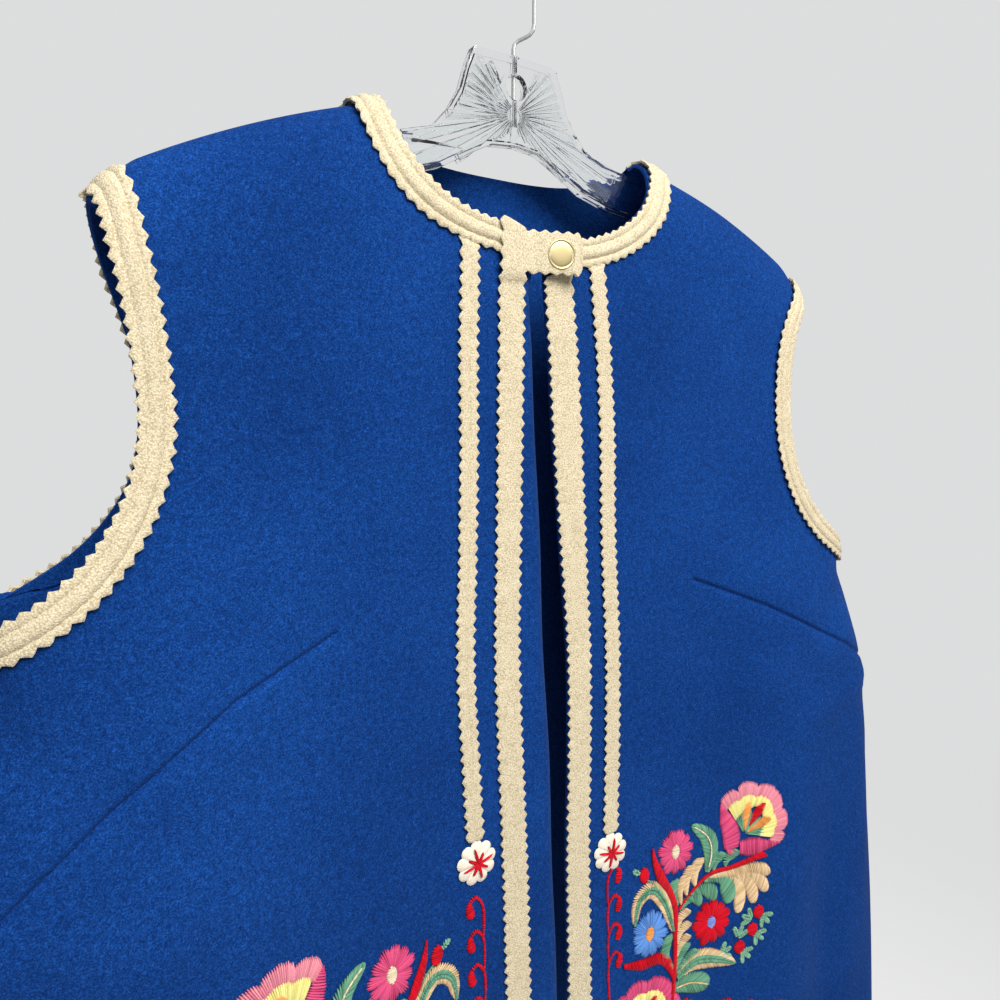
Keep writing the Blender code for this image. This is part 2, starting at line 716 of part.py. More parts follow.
def hanger_outline(sign):
    """One half of the outline from the top's middle round to the arch's middle; the arm
    follows the underside of the shoulder."""
    sink = ARM_SINK if sign < 0 else 0.0
    half = [(0.0, HANGER_TOP + 0.0006)]
    half += [(x, z - sink * ease((x - 0.030) / 0.030)) for x, z in HANGER_UPPER]
    reaches = [ARM_START + (HANGER_END - ARM_START) * i / 6 for i in range(7)]
    level = [-shoulder_drop(sign * reach - VEST_X) - ARM_CLEAR for reach in reaches]
    half += list(zip(reaches, level))
    half.append((reaches[-1] + 0.003, level[-1] - 0.004))
    half.append((reaches[-1] + 0.001, level[-1] - ARM_END_HEIGHT))
    for reach, top in list(zip(reaches, level))[-2:0:-1]:
        share = (reach - ARM_START) / (HANGER_END - ARM_START)
        half.append((reach, top - ARM_HEIGHT - (ARM_END_HEIGHT - ARM_HEIGHT) * share))
    half += list(HANGER_LOWER)
    return [(sign * x, z) for x, z in half]


def hanger_thickness(x):
    return BLOCK_THICK + (ARM_THICK - BLOCK_THICK) * ease((abs(x) - 0.060) / 0.016)


def make_hanger():
    loop = hanger_outline(1) + hanger_outline(-1)[-2:0:-1]
    bm = bmesh.new()
    verts = [bm.verts.new((x, -0.5, DATUM_Z + z)) for x, z in loop]
    front = bm.faces.new(verts)
    extruded = bmesh.ops.extrude_face_region(bm, geom=[front])["geom"]
    back = [g for g in extruded if isinstance(g, bmesh.types.BMFace)]
    far = [g for g in extruded if isinstance(g, bmesh.types.BMVert)]
    bmesh.ops.translate(bm, vec=(0, 1.0, 0), verts=far)
    bmesh.ops.recalc_face_normals(bm, faces=bm.faces[:])
    for face in (front, back[0]):
        bmesh.ops.inset_region(bm, faces=[face], thickness=RIM, use_even_offset=True)
        bmesh.ops.inset_region(bm, faces=[face], thickness=0.0004, use_even_offset=True)
        for v in face.verts:
            v.tag = True
    for v in bm.verts:
        side = -1 if v.co.y < 0 else 1
        thick = hanger_thickness(v.co.x)
        if v.tag:
            thick = min(thick - 0.0006, WEB_THICK)
        v.co.y = side * thick / 2 + arm_swing(v.co.x)
    body = add_object("hanger_body", bm, "clear")
    return body


def arm_swing(x):
    """The arms swing forward with the shoulder line."""
    return shoulder_y(x) * ease((abs(x) - 0.045) / 0.035)


def cylinder(name, radius, start, end, segments=16):
    bm = bmesh.new()
    axis = Vector(end) - Vector(start)
    bmesh.ops.create_cone(bm, cap_ends=True, segments=segments, radius1=radius, radius2=radius,
                          depth=axis.length)
    turn = Vector((0, 0, 1)).rotation_difference(axis).to_matrix().to_4x4()
    turn.translation = (Vector(start) + Vector(end)) / 2
    bm.transform(turn)
    obj = add_object(name, bm, "clear")
    obj.hide_render = True
    obj.display_type = "WIRE"
    return obj


def boolean(target, cutter, operation):
    mod = target.modifiers.new(cutter.name, "BOOLEAN")
    mod.operation = operation
    mod.solver = "EXACT"
    mod.object = cutter


def finish_hanger(body):
    """Barrels for the wire, a round window between them, and the wire's bore."""
    level = DATUM_Z + WINDOW_Z
    ring = cylinder("hanger_ring", WINDOW_R + 0.0014, (0, -0.0030, level), (0, 0.0030, level), 28)
    barrel = cylinder("hanger_barrel", BARREL_R, (0, 0, DATUM_Z - 0.0125),
                      (0, 0, DATUM_Z + HANGER_TOP + 0.001))
    window = cylinder("hanger_window", WINDOW_R, (0, -0.02, level), (0, 0.02, level), 28)
    bore = cylinder("hanger_bore", BORE_R, (0, 0, DATUM_Z + WIRE_FOOT - GAP),
                    (0, 0, DATUM_Z + 0.06))
    boolean(body, ring, "UNION")
    boolean(body, barrel, "UNION")
    boolean(body, window, "DIFFERENCE")
    boolean(body, bore, "DIFFERENCE")


# ---- hook -----------------------------------------------------------------------------------------
SWIVEL = math.radians(23)          # the hook is turned this far out of the hanger's plane
JOG_FOOT = 0.0375                  # over the datum
JOG_RISE = 0.0140


def hook_route():
    """Middle of the wire: up through the hanger, a jog to one side, and round the hook."""
    foot, top = DATUM_Z + WIRE_FOOT, DATUM_Z + JOG_FOOT
    centre = WIRE_R - HOOK_R
    points = [(0.0, foot), (0.0, foot + 0.012), (0.0, foot + 0.024), (0.0, top - 0.006)]
    soft = 7
    for i in range(soft + 1):
        t = i / soft
        points.append(bezier((0.0, top - 0.003), (0.0, top + 0.004), (HOOK_R, top + JOG_RISE - 0.006),
                             (HOOK_R, top + JOG_RISE + 0.003), t))
    rise = centre - (top + JOG_RISE + 0.003)
    points += [(HOOK_R, top + JOG_RISE + 0.003 + rise * 0.5)]
    for i in range(19):
        angle = math.radians(205) * i / 18
        points.append((HOOK_R * math.cos(angle), centre + HOOK_R * math.sin(angle)))
    return [(x * math.cos(SWIVEL), x * math.sin(SWIVEL), z) for x, z in points]


def make_hook():
    route = [Vector(point) for point in hook_route()]
    across = Vector((math.sin(SWIVEL), -math.cos(SWIVEL), 0))
    bm = bmesh.new()
    rings = []
    for i, point in enumerate(route):
        along = (route[min(i + 1, len(route) - 1)] - route[max(i - 1, 0)]).normalized()
        up = along.cross(across)
        turns = [2 * math.pi * k / WIRE_SIDES for k in range(WIRE_SIDES)]
        rings.append([bm.verts.new(point + (across * math.cos(a) + up * math.sin(a)) * WIRE_R)
                      for a in turns])
    for low, high in zip(rings, rings[1:]):
        for k in range(WIRE_SIDES):
            m = (k + 1) % WIRE_SIDES
            bm.faces.new((low[k], low[m], high[m], high[k]))
    bm.faces.new(rings[0])
    bm.faces.new(rings[-1])
    bmesh.ops.triangulate(bm, faces=bm.faces[:])
    return add_object("hanger_hook", bm, "steel")


# ---- the whole vest ----------------------------------------------------------------------------------
def inner_strip_top(side):
    """A narrow strip starts at the lower edge of the neck trim."""
    inner = abs(strip_value(side + "_inner", 0.0790)) - INNER_STRIP_W / 2
    inset = NECK_TRIM_W - OVERHANG + 0.0004
    return neckline(side, neck_angle(side, inner, inset), inset)[1] + GAP


def strip_lift(t):
    """The right front's wide strip climbs over the neck trim at its top."""
    drop = STRIP_TOP["right"] + (STRIP_FOOT - STRIP_TOP["right"]) * t
    return (TRIM + TRIM_GAP) * (1 - ease((drop - TAB_FOOT - 0.0005) / 0.0060))


STRIP_TOP = {"right": 0.0594, "left": 0.0806}
STRIP_FOOT = HEM_DROP - 0.0005


def main():
    for obj in list(bpy.data.objects):
        bpy.data.objects.remove(obj, do_unlink=True)
    for side in ("right", "left"):
        make_front(side)
        make_strip("edge_strip_" + side, side, side, lambda drop: strip_value(side + "_width", drop),
                   STRIP_TOP[side], STRIP_FOOT, strip_lift if side == "right" else None)
        make_strip("inner_strip_" + side, side, side + "_inner", lambda drop: INNER_STRIP_W,
                   inner_strip_top(side), STRIP_END[side])
        make_armhole_trim(side)
        make_rosette(side)
    make_back()
    make_neck_trim()
    make_tab()
    make_snap()
    finish_hanger(make_hanger())
    make_hook()


main()
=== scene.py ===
import math
import random

import bmesh
import bpy
from mathutils import Matrix, Vector


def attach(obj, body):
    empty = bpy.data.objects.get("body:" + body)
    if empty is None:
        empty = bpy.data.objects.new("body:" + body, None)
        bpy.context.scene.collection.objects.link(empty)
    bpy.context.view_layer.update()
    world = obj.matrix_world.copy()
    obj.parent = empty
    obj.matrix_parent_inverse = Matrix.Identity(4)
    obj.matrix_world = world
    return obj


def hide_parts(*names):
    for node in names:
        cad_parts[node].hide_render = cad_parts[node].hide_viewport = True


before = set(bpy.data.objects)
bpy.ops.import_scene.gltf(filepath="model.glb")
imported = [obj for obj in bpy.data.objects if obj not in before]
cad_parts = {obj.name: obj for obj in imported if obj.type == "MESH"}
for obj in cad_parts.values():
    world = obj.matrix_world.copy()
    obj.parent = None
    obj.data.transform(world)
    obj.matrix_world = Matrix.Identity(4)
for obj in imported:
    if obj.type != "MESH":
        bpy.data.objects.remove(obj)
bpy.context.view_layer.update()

print("frame loaded:", len(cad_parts), "nodes")
random.seed(11)


# a node with its inputs by name or number: a socket is linked, and anything else is set
def newNode(tree, kind, inputs, **settings):
    node = tree.nodes.new("ShaderNode" + kind)
    for label, value in settings.items():
        setattr(node, label, value)
    for label, value in inputs.items():
        if isinstance(value, bpy.types.NodeSocket):
            tree.links.new(value, node.inputs[label])
        else:
            node.inputs[label].default_value = value
    return node


def objectPlace(tree):
    return newNode(tree, "TexCoord", {}).outputs["Object"]


def noiseNode(tree, vector, scale, detail, rough=0.55):
    return newNode(tree, "TexNoise", {"Vector": vector, "Scale": scale, "Detail": detail,
                                      "Roughness": rough}).outputs["Fac"]


def mathNode(tree, operation, *values):
    return newNode(tree, "Math", dict(enumerate(values)), operation=operation).outputs[0]


def rampNode(tree, value, low, high, first=0.0, last=1.0, kind="LINEAR"):
    return newNode(tree, "MapRange", {"Value": value, "From Min": low, "From Max": high,
                                      "To Min": first, "To Max": last},
                   interpolation_type=kind).outputs["Result"]


def mixColour(tree, share, dark, light):
    return newNode(tree, "Mix", {"Factor": share, 6: dark, 7: light}, data_type="RGBA").outputs[2]


def newMaterial(name, values):
    made = bpy.data.materials.new(name)
    made.use_nodes = True
    shader = made.node_tree.nodes["Principled BSDF"]
    for label, value in values.items():
        shader.inputs[label].default_value = value
    return made, made.node_tree, shader


def addBump(tree, shader, height, strength, distance):
    bump = newNode(tree, "Bump", {"Strength": strength, "Distance": distance, "Height": height})
    tree.links.new(bump.outputs["Normal"], shader.inputs["Normal"])


# camera, light and floor; the world's strength is another one for each kind of ray
studio = {
    "cameraPlace": (-0.228, -0.345, -0.254), "cameraPitch": 6.9, "cameraYaw": 32.5, "lens": 27.04,
    "worldColour": (0.80, 0.805, 0.81, 1.0), "worldStrength": 0.90, "worldLight": 0.29,
    "seenThrough": 0.94, "mirrored": 0.35,
    "floorLevel": -1.15, "floorRadius": 9.0, "floorFade": (0.3, 2.5),
    "floorPaint": {"Base Color": (0.86, 0.86, 0.865, 1.0), "Roughness": 0.9},
    # name: place, aimed at, width, power, colour
    "lights": {
        "key": ((0.15, -1.12, 0.72), (0.0, 0.0, -0.25), 1.1, 29.5, (1.0, 0.97, 0.93)),
        "fill": ((-0.55, -1.35, 0.85), (-0.1, 0.0, -0.20), 1.1, 15.0, (0.95, 0.97, 1.0)),
        "top": ((-0.1, -0.2, 1.5), (0.0, 0.0, -0.2), 1.2, 6.0, (1.0, 1.0, 1.0)),
        "back": ((0.3, 1.8, 0.6), (0.0, 0.0, -0.3), 1.6, 30.0, (1.0, 1.0, 1.0)),
    },
}


def placeInScene(name, data):
    made = bpy.data.objects.new(name, data)
    bpy.context.scene.collection.objects.link(made)
    return made


def makeCamera():
    lens = bpy.data.cameras.new("camera")
    lens.lens = studio["lens"]
    lens.sensor_width = 36.0
    lens.clip_start = 0.01
    shot = placeInScene("camera", lens)
    shot.location = studio["cameraPlace"]
    shot.rotation_euler = (math.radians(90 - studio["cameraPitch"]), 0.0,
                           -math.radians(studio["cameraYaw"]))
    bpy.context.scene.camera = shot


def makeLights():
    for name, (place, target, width, power, colour) in studio["lights"].items():
        lamp = bpy.data.lights.new(name + "Light", "AREA")
        lamp.shape = "DISK"
        lamp.size = width
        lamp.energy = power
        lamp.color = colour
        holder = placeInScene(name + "Light", lamp)
        holder.location = place
        holder.visible_transmission = False        # no lamp discs inside the clear hanger
        holder.visible_glossy = name != "back"
        aim = Vector(target) - Vector(place)
        holder.rotation_euler = aim.to_track_quat("-Z", "Y").to_euler()


def makeWorld():
    world = bpy.data.worlds.new("studioWorld")
    world.use_nodes = True
    tree = world.node_tree
    glow = tree.nodes["Background"]
    glow.inputs["Color"].default_value = studio["worldColour"]
    ray = newNode(tree, "LightPath", {}).outputs
    seen = mathNode(tree, "MULTIPLY_ADD", ray["Is Glossy Ray"], studio["mirrored"],
                    ray["Is Camera Ray"])
    seen = mathNode(tree, "MULTIPLY_ADD", ray["Is Transmission Ray"], studio["seenThrough"], seen)
    strength = rampNode(tree, seen, 0.0, 1.0, studio["worldLight"], studio["worldStrength"])
    tree.links.new(strength, glow.inputs["Strength"])
    bpy.context.scene.world = world


def makeFloor():
    bm = bmesh.new()
    bmesh.ops.create_circle(bm, cap_ends=True, segments=96, radius=studio["floorRadius"])
    bmesh.ops.translate(bm, vec=(0, 0, studio["floorLevel"]), verts=bm.verts[:])
    mesh = bpy.data.meshes.new("floor")
    bm.to_mesh(mesh)
    bm.free()
    floor = placeInScene("floor", mesh)
    paint, tree, shader = newMaterial("floorPaint", studio["floorPaint"])
    away = newNode(tree, "VectorMath", {0: objectPlace(tree)}, operation="LENGTH")
    fade = rampNode(tree, away.outputs["Value"], *studio["floorFade"], 1.0, 0.0, "SMOOTHERSTEP")
    tree.links.new(fade, shader.inputs["Alpha"])
    mesh.materials.append(paint)


bpy.context.scene.view_settings.view_transform = "Standard"
makeCamera()
makeLights()
makeWorld()
makeFloor()
print("studio ready")


# effects shared by the materials; each goes from a dark tone to a light one
def newGroup(name, numbers, outputs):
    group = bpy.data.node_groups.new(name, "ShaderNodeTree")
    inputs = {"Dark": (0.0, 0.0, 0.0, 1.0), "Light": (1.0, 1.0, 1.0, 1.0), **numbers}
    for label, value in inputs.items():
        kind = "NodeSocketFloat" if isinstance(value, float) else "NodeSocketColor"
        socket = group.interface.new_socket(name=label, in_out="INPUT", socket_type=kind)
        socket.default_value = value
    for label in outputs:
        kind = "NodeSocketColor" if label == "Colour" else "NodeSocketFloat"
        group.interface.new_socket(name=label, in_out="OUTPUT", socket_type=kind)
    enter = group.nodes.new("NodeGroupInput").outputs
    leave = group.nodes.new("NodeGroupOutput").inputs
    return group, enter, leave


# fulled cloth: fine fibre over soft mottles, with a height for the nap
def makeNapGroup():
    group, enter, leave = newGroup(
        "fulledNap", {"Fibre Scale": 1450.0, "Mottle Scale": 420.0, "Fibre Share": 0.55},
        ("Colour", "Height"))
    place = objectPlace(group)
    warp = noiseNode(group, place, 180.0, 2.0)
    bend = newNode(group, "VectorMath", {0: warp, 1: (0.004, 0.004, 0.004), 2: place},
                   operation="MULTIPLY_ADD")
    fibre = noiseNode(group, bend.outputs[0], enter["Fibre Scale"], 4.0, 0.7)
    mottle = noiseNode(group, place, enter["Mottle Scale"], 3.0, 0.6)
    broad = noiseNode(group, place, 9.0, 2.0)
    fine = mathNode(group, "MULTIPLY", fibre, enter["Fibre Share"])
    rest = mathNode(group, "SUBTRACT", 1.0, enter["Fibre Share"])
    both = mathNode(group, "MULTIPLY_ADD", mottle, rest, fine)
    shade = mathNode(group, "MULTIPLY_ADD", broad, 0.14, mathNode(group, "SUBTRACT", both, 0.07))
    mask = mathNode(group, "POWER", rampNode(group, shade, 0.34, 0.66), 2.0)
    group.links.new(mixColour(group, mask, enter["Dark"], enter["Light"]), leave["Colour"])
    group.links.new(both, leave["Height"])
    return group


# felt trims: rounded nubs, with painted shade darkening the pits between them
def makeNubGroup():
    group, enter, leave = newGroup("nubbyFelt", {"Nub Scale": 1350.0}, ("Colour", "Height"))
    place = objectPlace(group)
    cells = newNode(group, "TexVoronoi", {"Smoothness": 0.6, "Vector": place,
                                          "Scale": enter["Nub Scale"]}, feature="SMOOTH_F1")
    grain = noiseNode(group, place, 2100.0, 3.0, 0.7)
    cloud = noiseNode(group, place, 150.0, 2.0)
    nub = mathNode(group, "SUBTRACT", 1.0, cells.outputs["Distance"])
    height = mathNode(group, "MULTIPLY_ADD", grain, 0.7, nub)
    # painted shade: darker where the nubs' height is low, over a random cloudy tone
    tone = mathNode(group, "MULTIPLY_ADD", cloud, 0.25, mathNode(group, "MULTIPLY", height, 0.8))
    mask = rampNode(group, tone, 0.60, 1.15)
    group.links.new(mixColour(group, mask, enter["Dark"], enter["Light"]), leave["Colour"])
    group.links.new(height, leave["Height"])
    return group


# yarn: painted shade darkens each thread's flanks, so the creases between stitches look dark, with
# slight changes of tone and a fine twist
def makeYarnGroup():
    group, enter, leave = newGroup("yarnTone", {"Twist Scale": 1600.0}, ("Colour", "Height"))
    # painted shade on the threads' flanks, times a random tone for each stitch
    flankShadeAndTone = newNode(group, "Attribute", {}, attribute_name="flankShadeAndTone")
    strands = noiseNode(group, objectPlace(group), enter["Twist Scale"], 3.0, 0.65)
    both = mathNode(group, "MULTIPLY_ADD", strands, 0.30,
                    mathNode(group, "MULTIPLY", flankShadeAndTone.outputs["Fac"], 0.85))
    mask = rampNode(group, both, 0.50, 0.96)
    group.links.new(mixColour(group, mask, enter["Dark"], enter["Light"]), leave["Colour"])
    group.links.new(strands, leave["Height"])
    return group


# metal: faint scratches and duller patches
def makeWearGroup():
    group, enter, leave = newGroup(
        "metalWear", {"Polished": 0.22, "Dull": 0.42, "Patch Scale": 240.0},
        ("Colour", "Roughness", "Height"))
    place = objectPlace(group)
    stretch = newNode(group, "Mapping", {"Vector": place, "Scale": (1.0, 1.0, 9.0)})
    scratch = noiseNode(group, stretch.outputs["Vector"], 1400.0, 2.0, 0.7)
    mask = rampNode(group, noiseNode(group, place, enter["Patch Scale"], 4.0, 0.6), 0.35, 0.70)
    span = mathNode(group, "SUBTRACT", enter["Dull"], enter["Polished"])
    rough = mathNode(group, "MULTIPLY_ADD", mask, span, enter["Polished"])
    group.links.new(mixColour(group, mask, enter["Light"], enter["Dark"]), leave["Colour"])
    group.links.new(rough, leave["Roughness"])
    group.links.new(scratch, leave["Height"])
    return group


groups = {"nap": makeNapGroup(), "nub": makeNubGroup(), "yarn": makeYarnGroup(),
          "wear": makeWearGroup()}

# name: group, its values, bump strength and distance, values set on the shader itself
finishes = {
    "blueWool": ("nap", {"Dark": (0.0016, 0.0190, 0.106), "Light": (0.0120, 0.0900, 0.400),
                         "Fibre Share": 0.80}, 0.7, 0.0005,
                 {"Roughness": 0.95, "Sheen Weight": 0.07, "Sheen Roughness": 0.35,
                  "Sheen Tint": (0.45, 0.60, 1.0, 1.0), "Specular IOR Level": 0.06}),
    # the felt's dark tone is the painted shade in the pits between its nubs
    "creamFelt": ("nub", {"Dark": (0.46, 0.38, 0.235), "Light": (0.80, 0.715, 0.525)}, 0.6, 0.0004,
                  {"Roughness": 0.92, "Sheen Weight": 0.15, "Sheen Roughness": 0.5,
                   "Specular IOR Level": 0.25}),
    "whiteWool": ("nap", {"Dark": (0.74, 0.66, 0.53), "Light": (0.95, 0.89, 0.78)}, 0.5, 0.0004,
                  {"Roughness": 0.85, "Sheen Weight": 0.2, "Specular IOR Level": 0.3}),
    "brass": ("wear", {"Dark": (0.085, 0.062, 0.024), "Light": (0.185, 0.143, 0.064),
                       "Polished": 0.40, "Dull": 0.55}, 0.12, 0.0001, {"Metallic": 1.0}),
    "steel": ("wear", {"Dark": (0.16, 0.165, 0.17), "Light": (0.36, 0.37, 0.38), "Polished": 0.28,
                       "Dull": 0.45}, 0.15, 0.0001, {"Metallic": 1.0}),
}
# each yarn's dark tone, used for the painted shade on its flanks and for its darker strands, and its
# light tone
yarnColours = {
    "red": ((0.33, 0.000, 0.006), (0.76, 0.001, 0.018)),
    "deepPink": ((0.42, 0.030, 0.105), (0.82, 0.11, 0.27)),
    "lightPink": ((0.52, 0.13, 0.19), (0.90, 0.36, 0.43)),
    "yellow": ((0.60, 0.52, 0.14), (0.92, 0.88, 0.36)),
    "orange": ((0.62, 0.22, 0.045), (0.90, 0.40, 0.11)),
    "peach": ((0.44, 0.28, 0.13), (0.90, 0.68, 0.42)),
    "green": ((0.050, 0.17, 0.10), (0.19, 0.45, 0.29)),
    "mint": ((0.10, 0.27, 0.17), (0.32, 0.60, 0.42)),
    "skyBlue": ((0.045, 0.14, 0.42), (0.15, 0.36, 0.80)),
    "ecru": ((0.55, 0.45, 0.30), (0.90, 0.80, 0.62)),
    "violet": ((0.12, 0.16, 0.42), (0.28, 0.36, 0.78)),
}
yarnSurface = {"Roughness": 0.72, "Sheen Weight": 0.06, "Sheen Roughness": 0.35,
               "Specular IOR Level": 0.18}
for yarnName, (yarnDark, yarnLight) in yarnColours.items():
    finishes["yarn_" + yarnName] = ("yarn", {"Dark": yarnDark, "Light": yarnLight}, 0.4, 0.0002,
                                    yarnSurface)


def makeFinish(name):
    known = bpy.data.materials.get(name)
    if known:
        return known
    kind, values, strength, distance, surface = finishes[name]
    made, tree, shader = newMaterial(name, surface)
    effect = newNode(tree, "Group", {}, node_tree=groups[kind])
    for label, value in values.items():
        effect.inputs[label].default_value = (*value, 1.0) if isinstance(value, tuple) else value
    tree.links.new(effect.outputs["Colour"], shader.inputs["Base Color"])
    addBump(tree, shader, effect.outputs["Height"], strength, distance)
    if "Roughness" in effect.outputs:
        tree.links.new(effect.outputs["Roughness"], shader.inputs["Roughness"])
    return made


clearPlastic = {"surface": {"Base Color": (0.97, 0.985, 0.99, 1.0), "Roughness": 0.04,
                            "IOR": 1.47, "Transmission Weight": 1.0},
                "waveScale": 60.0, "waveStrength": 0.25, "waveHeight": 0.001}


def makeClearPlastic():
    made, tree, shader = newMaterial("clearPlastic", clearPlastic["surface"])
    wave = noiseNode(tree, objectPlace(tree), clearPlastic["waveScale"], 2.0, 0.5)
    addBump(tree, shader, wave, clearPlastic["waveStrength"], clearPlastic["waveHeight"])
    return made


print("materials ready")

# the vest's shape, in the sizes of its solids, but with the side seams closed
vest = {
    "datumZ": -0.104, "offsetX": 0.003, "cloth": 0.002, "seam": -0.00005, "hem": 0.600,
    "sideRound": 0.045, "lobeReach": 0.215,
    "rowUnderarm": 0.60, "rowNeck": 0.80, "neckShare": 0.38,
    "stripEnd": {"right": 0.3690, "left": 0.3930},
    "stripTop": {"right": 0.0594, "left": 0.0806},
}
# the shoulder line falls from the neck's side, sinks on the left and droops past the hanger
shoulder = {
    "neck": 0.085, "level": 0.0105, "slope": 0.31, "curve": 1.25, "round": 0.046,
    "leftSink": 0.0026, "sinkBefore": 0.010, "sinkOver": 0.070,
    "tipDroop": 0.0080, "droopFrom": 0.186, "droopOver": 0.0245,
    "y": -0.004, "swing": 0.014, "swingFrom": 0.06, "swingOver": 0.16,
}
sectionColumns = ("drop", "half", "centre", "lobe", "back")
sections = (
    (0.000, 0.262, -0.024, -0.032, 0.020),
    (0.060, 0.262, -0.026, -0.033, 0.024),
    (0.150, 0.262, -0.026, -0.035, 0.030),
    (0.250, 0.264, -0.028, -0.044, 0.036),
    (0.300, 0.278, -0.030, -0.049, 0.038),
    (0.330, 0.287, -0.031, -0.052, 0.040),
    (0.420, 0.299, -0.034, -0.058, 0.043),
    (0.500, 0.305, -0.037, -0.062, 0.046),
    (0.610, 0.311, -0.040, -0.066, 0.050),
)
# half width along the shoulder, lowest drop, how square the curve is
neckSizes = {
    "right": (0.0815, 0.0610, 2.5), "left": (0.0765, 0.0645, 2.1),
    "backRight": (0.0815, 0.0245, 2.4), "backLeft": (0.0765, 0.0245, 2.4),
}
# armhole edges: shoulder's end, curve above the narrowest point, that point, curve below it
armholeSizes = {
    "right": (0.2045, 0.0066, 0.0881, 0.1319, 0.1932, 0.1495, 0.1922, 0.2271, 0.2363),
    "left": (0.2125, 0.0200, 0.0880, 0.1050, 0.1866, 0.1500, 0.2010, 0.2190, 0.2473),
    "backRight": (0.2045, 0.0080, 0.0920, 0.1250, 0.1840, 0.1500, 0.1960, 0.2250, 0.2363),
    "backLeft": (0.2125, 0.0160, 0.0900, 0.1120, 0.1860, 0.1520, 0.2040, 0.2200, 0.2473),
}
stripColumns = ("drop", "right", "rightWidth", "left", "leftWidth", "rightInner", "leftInner",
                "rightMargin", "leftMargin")
strips = (
    (0.0605, -0.0212, 0.0172, 0.0060, 0.0194, -0.0452, 0.0305, 0.0045, -0.0015),
    (0.0850, -0.0216, 0.0172, 0.0072, 0.0198, -0.0457, 0.0335, 0.0045, -0.0015),
    (0.1200, -0.0218, 0.0172, 0.0108, 0.0206, -0.0466, 0.0377, 0.0075, -0.0015),
    (0.1600, -0.0225, 0.0172, 0.0138, 0.0210, -0.0467, 0.0408, 0.0100, -0.0015),
    (0.2200, -0.0241, 0.0172, 0.0176, 0.0194, -0.0485, 0.0421, 0.0150, -0.0015),
    (0.2800, -0.0260, 0.0174, 0.0210, 0.0178, -0.0512, 0.0446, 0.0178, -0.0015),
    (0.3400, -0.0248, 0.0176, 0.0208, 0.0176, -0.0492, 0.0442, 0.0198, -0.0015),
    (0.4000, -0.0233, 0.0178, 0.0192, 0.0180, -0.0468, 0.0424, 0.0190, -0.0015),
    (0.4600, -0.0228, 0.0178, 0.0193, 0.0182, -0.0460, 0.0418, 0.0205, -0.0015),
    (0.6100, -0.0215, 0.0178, 0.0190, 0.0182, -0.0450, 0.0410, 0.0190, -0.0015),
)
# soft folds down the cloth: panel, reach, first drop, full drop, depth, half width
folds = (
    ("left", 0.218, 0.360, 0.520, 0.0055, 0.022),
    ("left", 0.118, 0.430, 0.600, 0.0025, 0.026),
    ("right", -0.206, 0.340, 0.540, 0.0045, 0.024),
    ("right", -0.104, 0.440, 0.600, 0.0022, 0.028),
    ("back", -0.140, 0.300, 0.560, 0.0055, 0.034),
    ("back", 0.065, 0.330, 0.590, 0.0045, 0.030),
    ("back", 0.195, 0.380, 0.560, 0.0050, 0.028),
)
# finer troughs (-) and ridges (+) along a line: panel, from, to, height, half width
creases = (
    ("left", (0.250, 0.262), (0.196, 0.318), -0.0016, 0.012),
    ("left", (0.262, 0.338), (0.205, 0.352), 0.0018, 0.011),
    ("left", (0.232, 0.300), (0.150, 0.330), 0.0012, 0.016),
    ("left", (0.170, 0.120), (0.120, 0.200), -0.0010, 0.018),
    ("left", (0.075, 0.090), (0.060, 0.170), 0.0008, 0.013),
    ("left", (0.190, 0.400), (0.170, 0.560), 0.0015, 0.020),
    ("left", (0.285, 0.400), (0.262, 0.590), -0.0020, 0.016),
    ("left", (0.060, 0.300), (0.066, 0.380), -0.0007, 0.010),
    ("right", (-0.250, 0.262), (-0.190, 0.322), -0.0016, 0.013),
    ("right", (-0.270, 0.330), (-0.200, 0.362), 0.0016, 0.012),
    ("right", (-0.168, 0.110), (-0.112, 0.205), -0.0011, 0.020),
    ("right", (-0.090, 0.080), (-0.072, 0.180), 0.0009, 0.014),
    ("right", (-0.155, 0.215), (-0.085, 0.310), 0.0009, 0.022),
    ("right", (-0.072, 0.330), (-0.066, 0.410), -0.0008, 0.012),
    ("right", (-0.280, 0.410), (-0.258, 0.590), -0.0020, 0.018),
    ("back", (-0.230, 0.240), (-0.120, 0.300), -0.0022, 0.016),
    ("back", (0.236, 0.236), (0.130, 0.310), -0.0020, 0.015),
    ("back", (-0.060, 0.060), (-0.150, 0.170), 0.0014, 0.020),
    ("back", (0.066, 0.055), (0.160, 0.150), 0.0013, 0.018),
    ("back", (0.020, 0.150), (0.012, 0.300), -0.0012, 0.024),
    ("back", (-0.270, 0.380), (-0.245, 0.580), 0.0022, 0.018),
    ("back", (0.275, 0.360), (0.262, 0.560), -0.0024, 0.017),
    ("back", (-0.040, 0.400), (-0.052, 0.590), 0.0020, 0.022),
)
creaseFar = {"sideways": 0.2, "halves": 2.6}      # past this a crease adds nothing
# bust darts: from the tip out to the side seam
darts = {
    "left": ((0.1073, 0.2525), (0.1620, 0.2738), (0.2700, 0.3250)),
    "right": ((-0.1195, 0.2489), (-0.1627, 0.2671), (-0.2080, 0.2960), (-0.2700, 0.3420)),
}
dartSizes = {"groove": 0.0019, "grooveHalf": 0.0013, "swell": 0.0024, "swellHalf": 0.013,
             "swellOff": 0.010, "before": 0.3, "fade": 1.2, "refine": 0.0055, "cuts": 3}


def sideSign(panel):
    return 1 if panel.lower().endswith("left") else -1


def ease(t):
    t = min(1.0, max(0.0, t))
    return t * t * (3 - 2 * t)


def bezier(p0, p1, p2, p3, t):
    s = 1 - t
    return tuple(s**3 * a + 3 * s * s * t * b + 3 * s * t * t * c + t**3 * d
                 for a, b, c, d in zip(p0, p1, p2, p3))


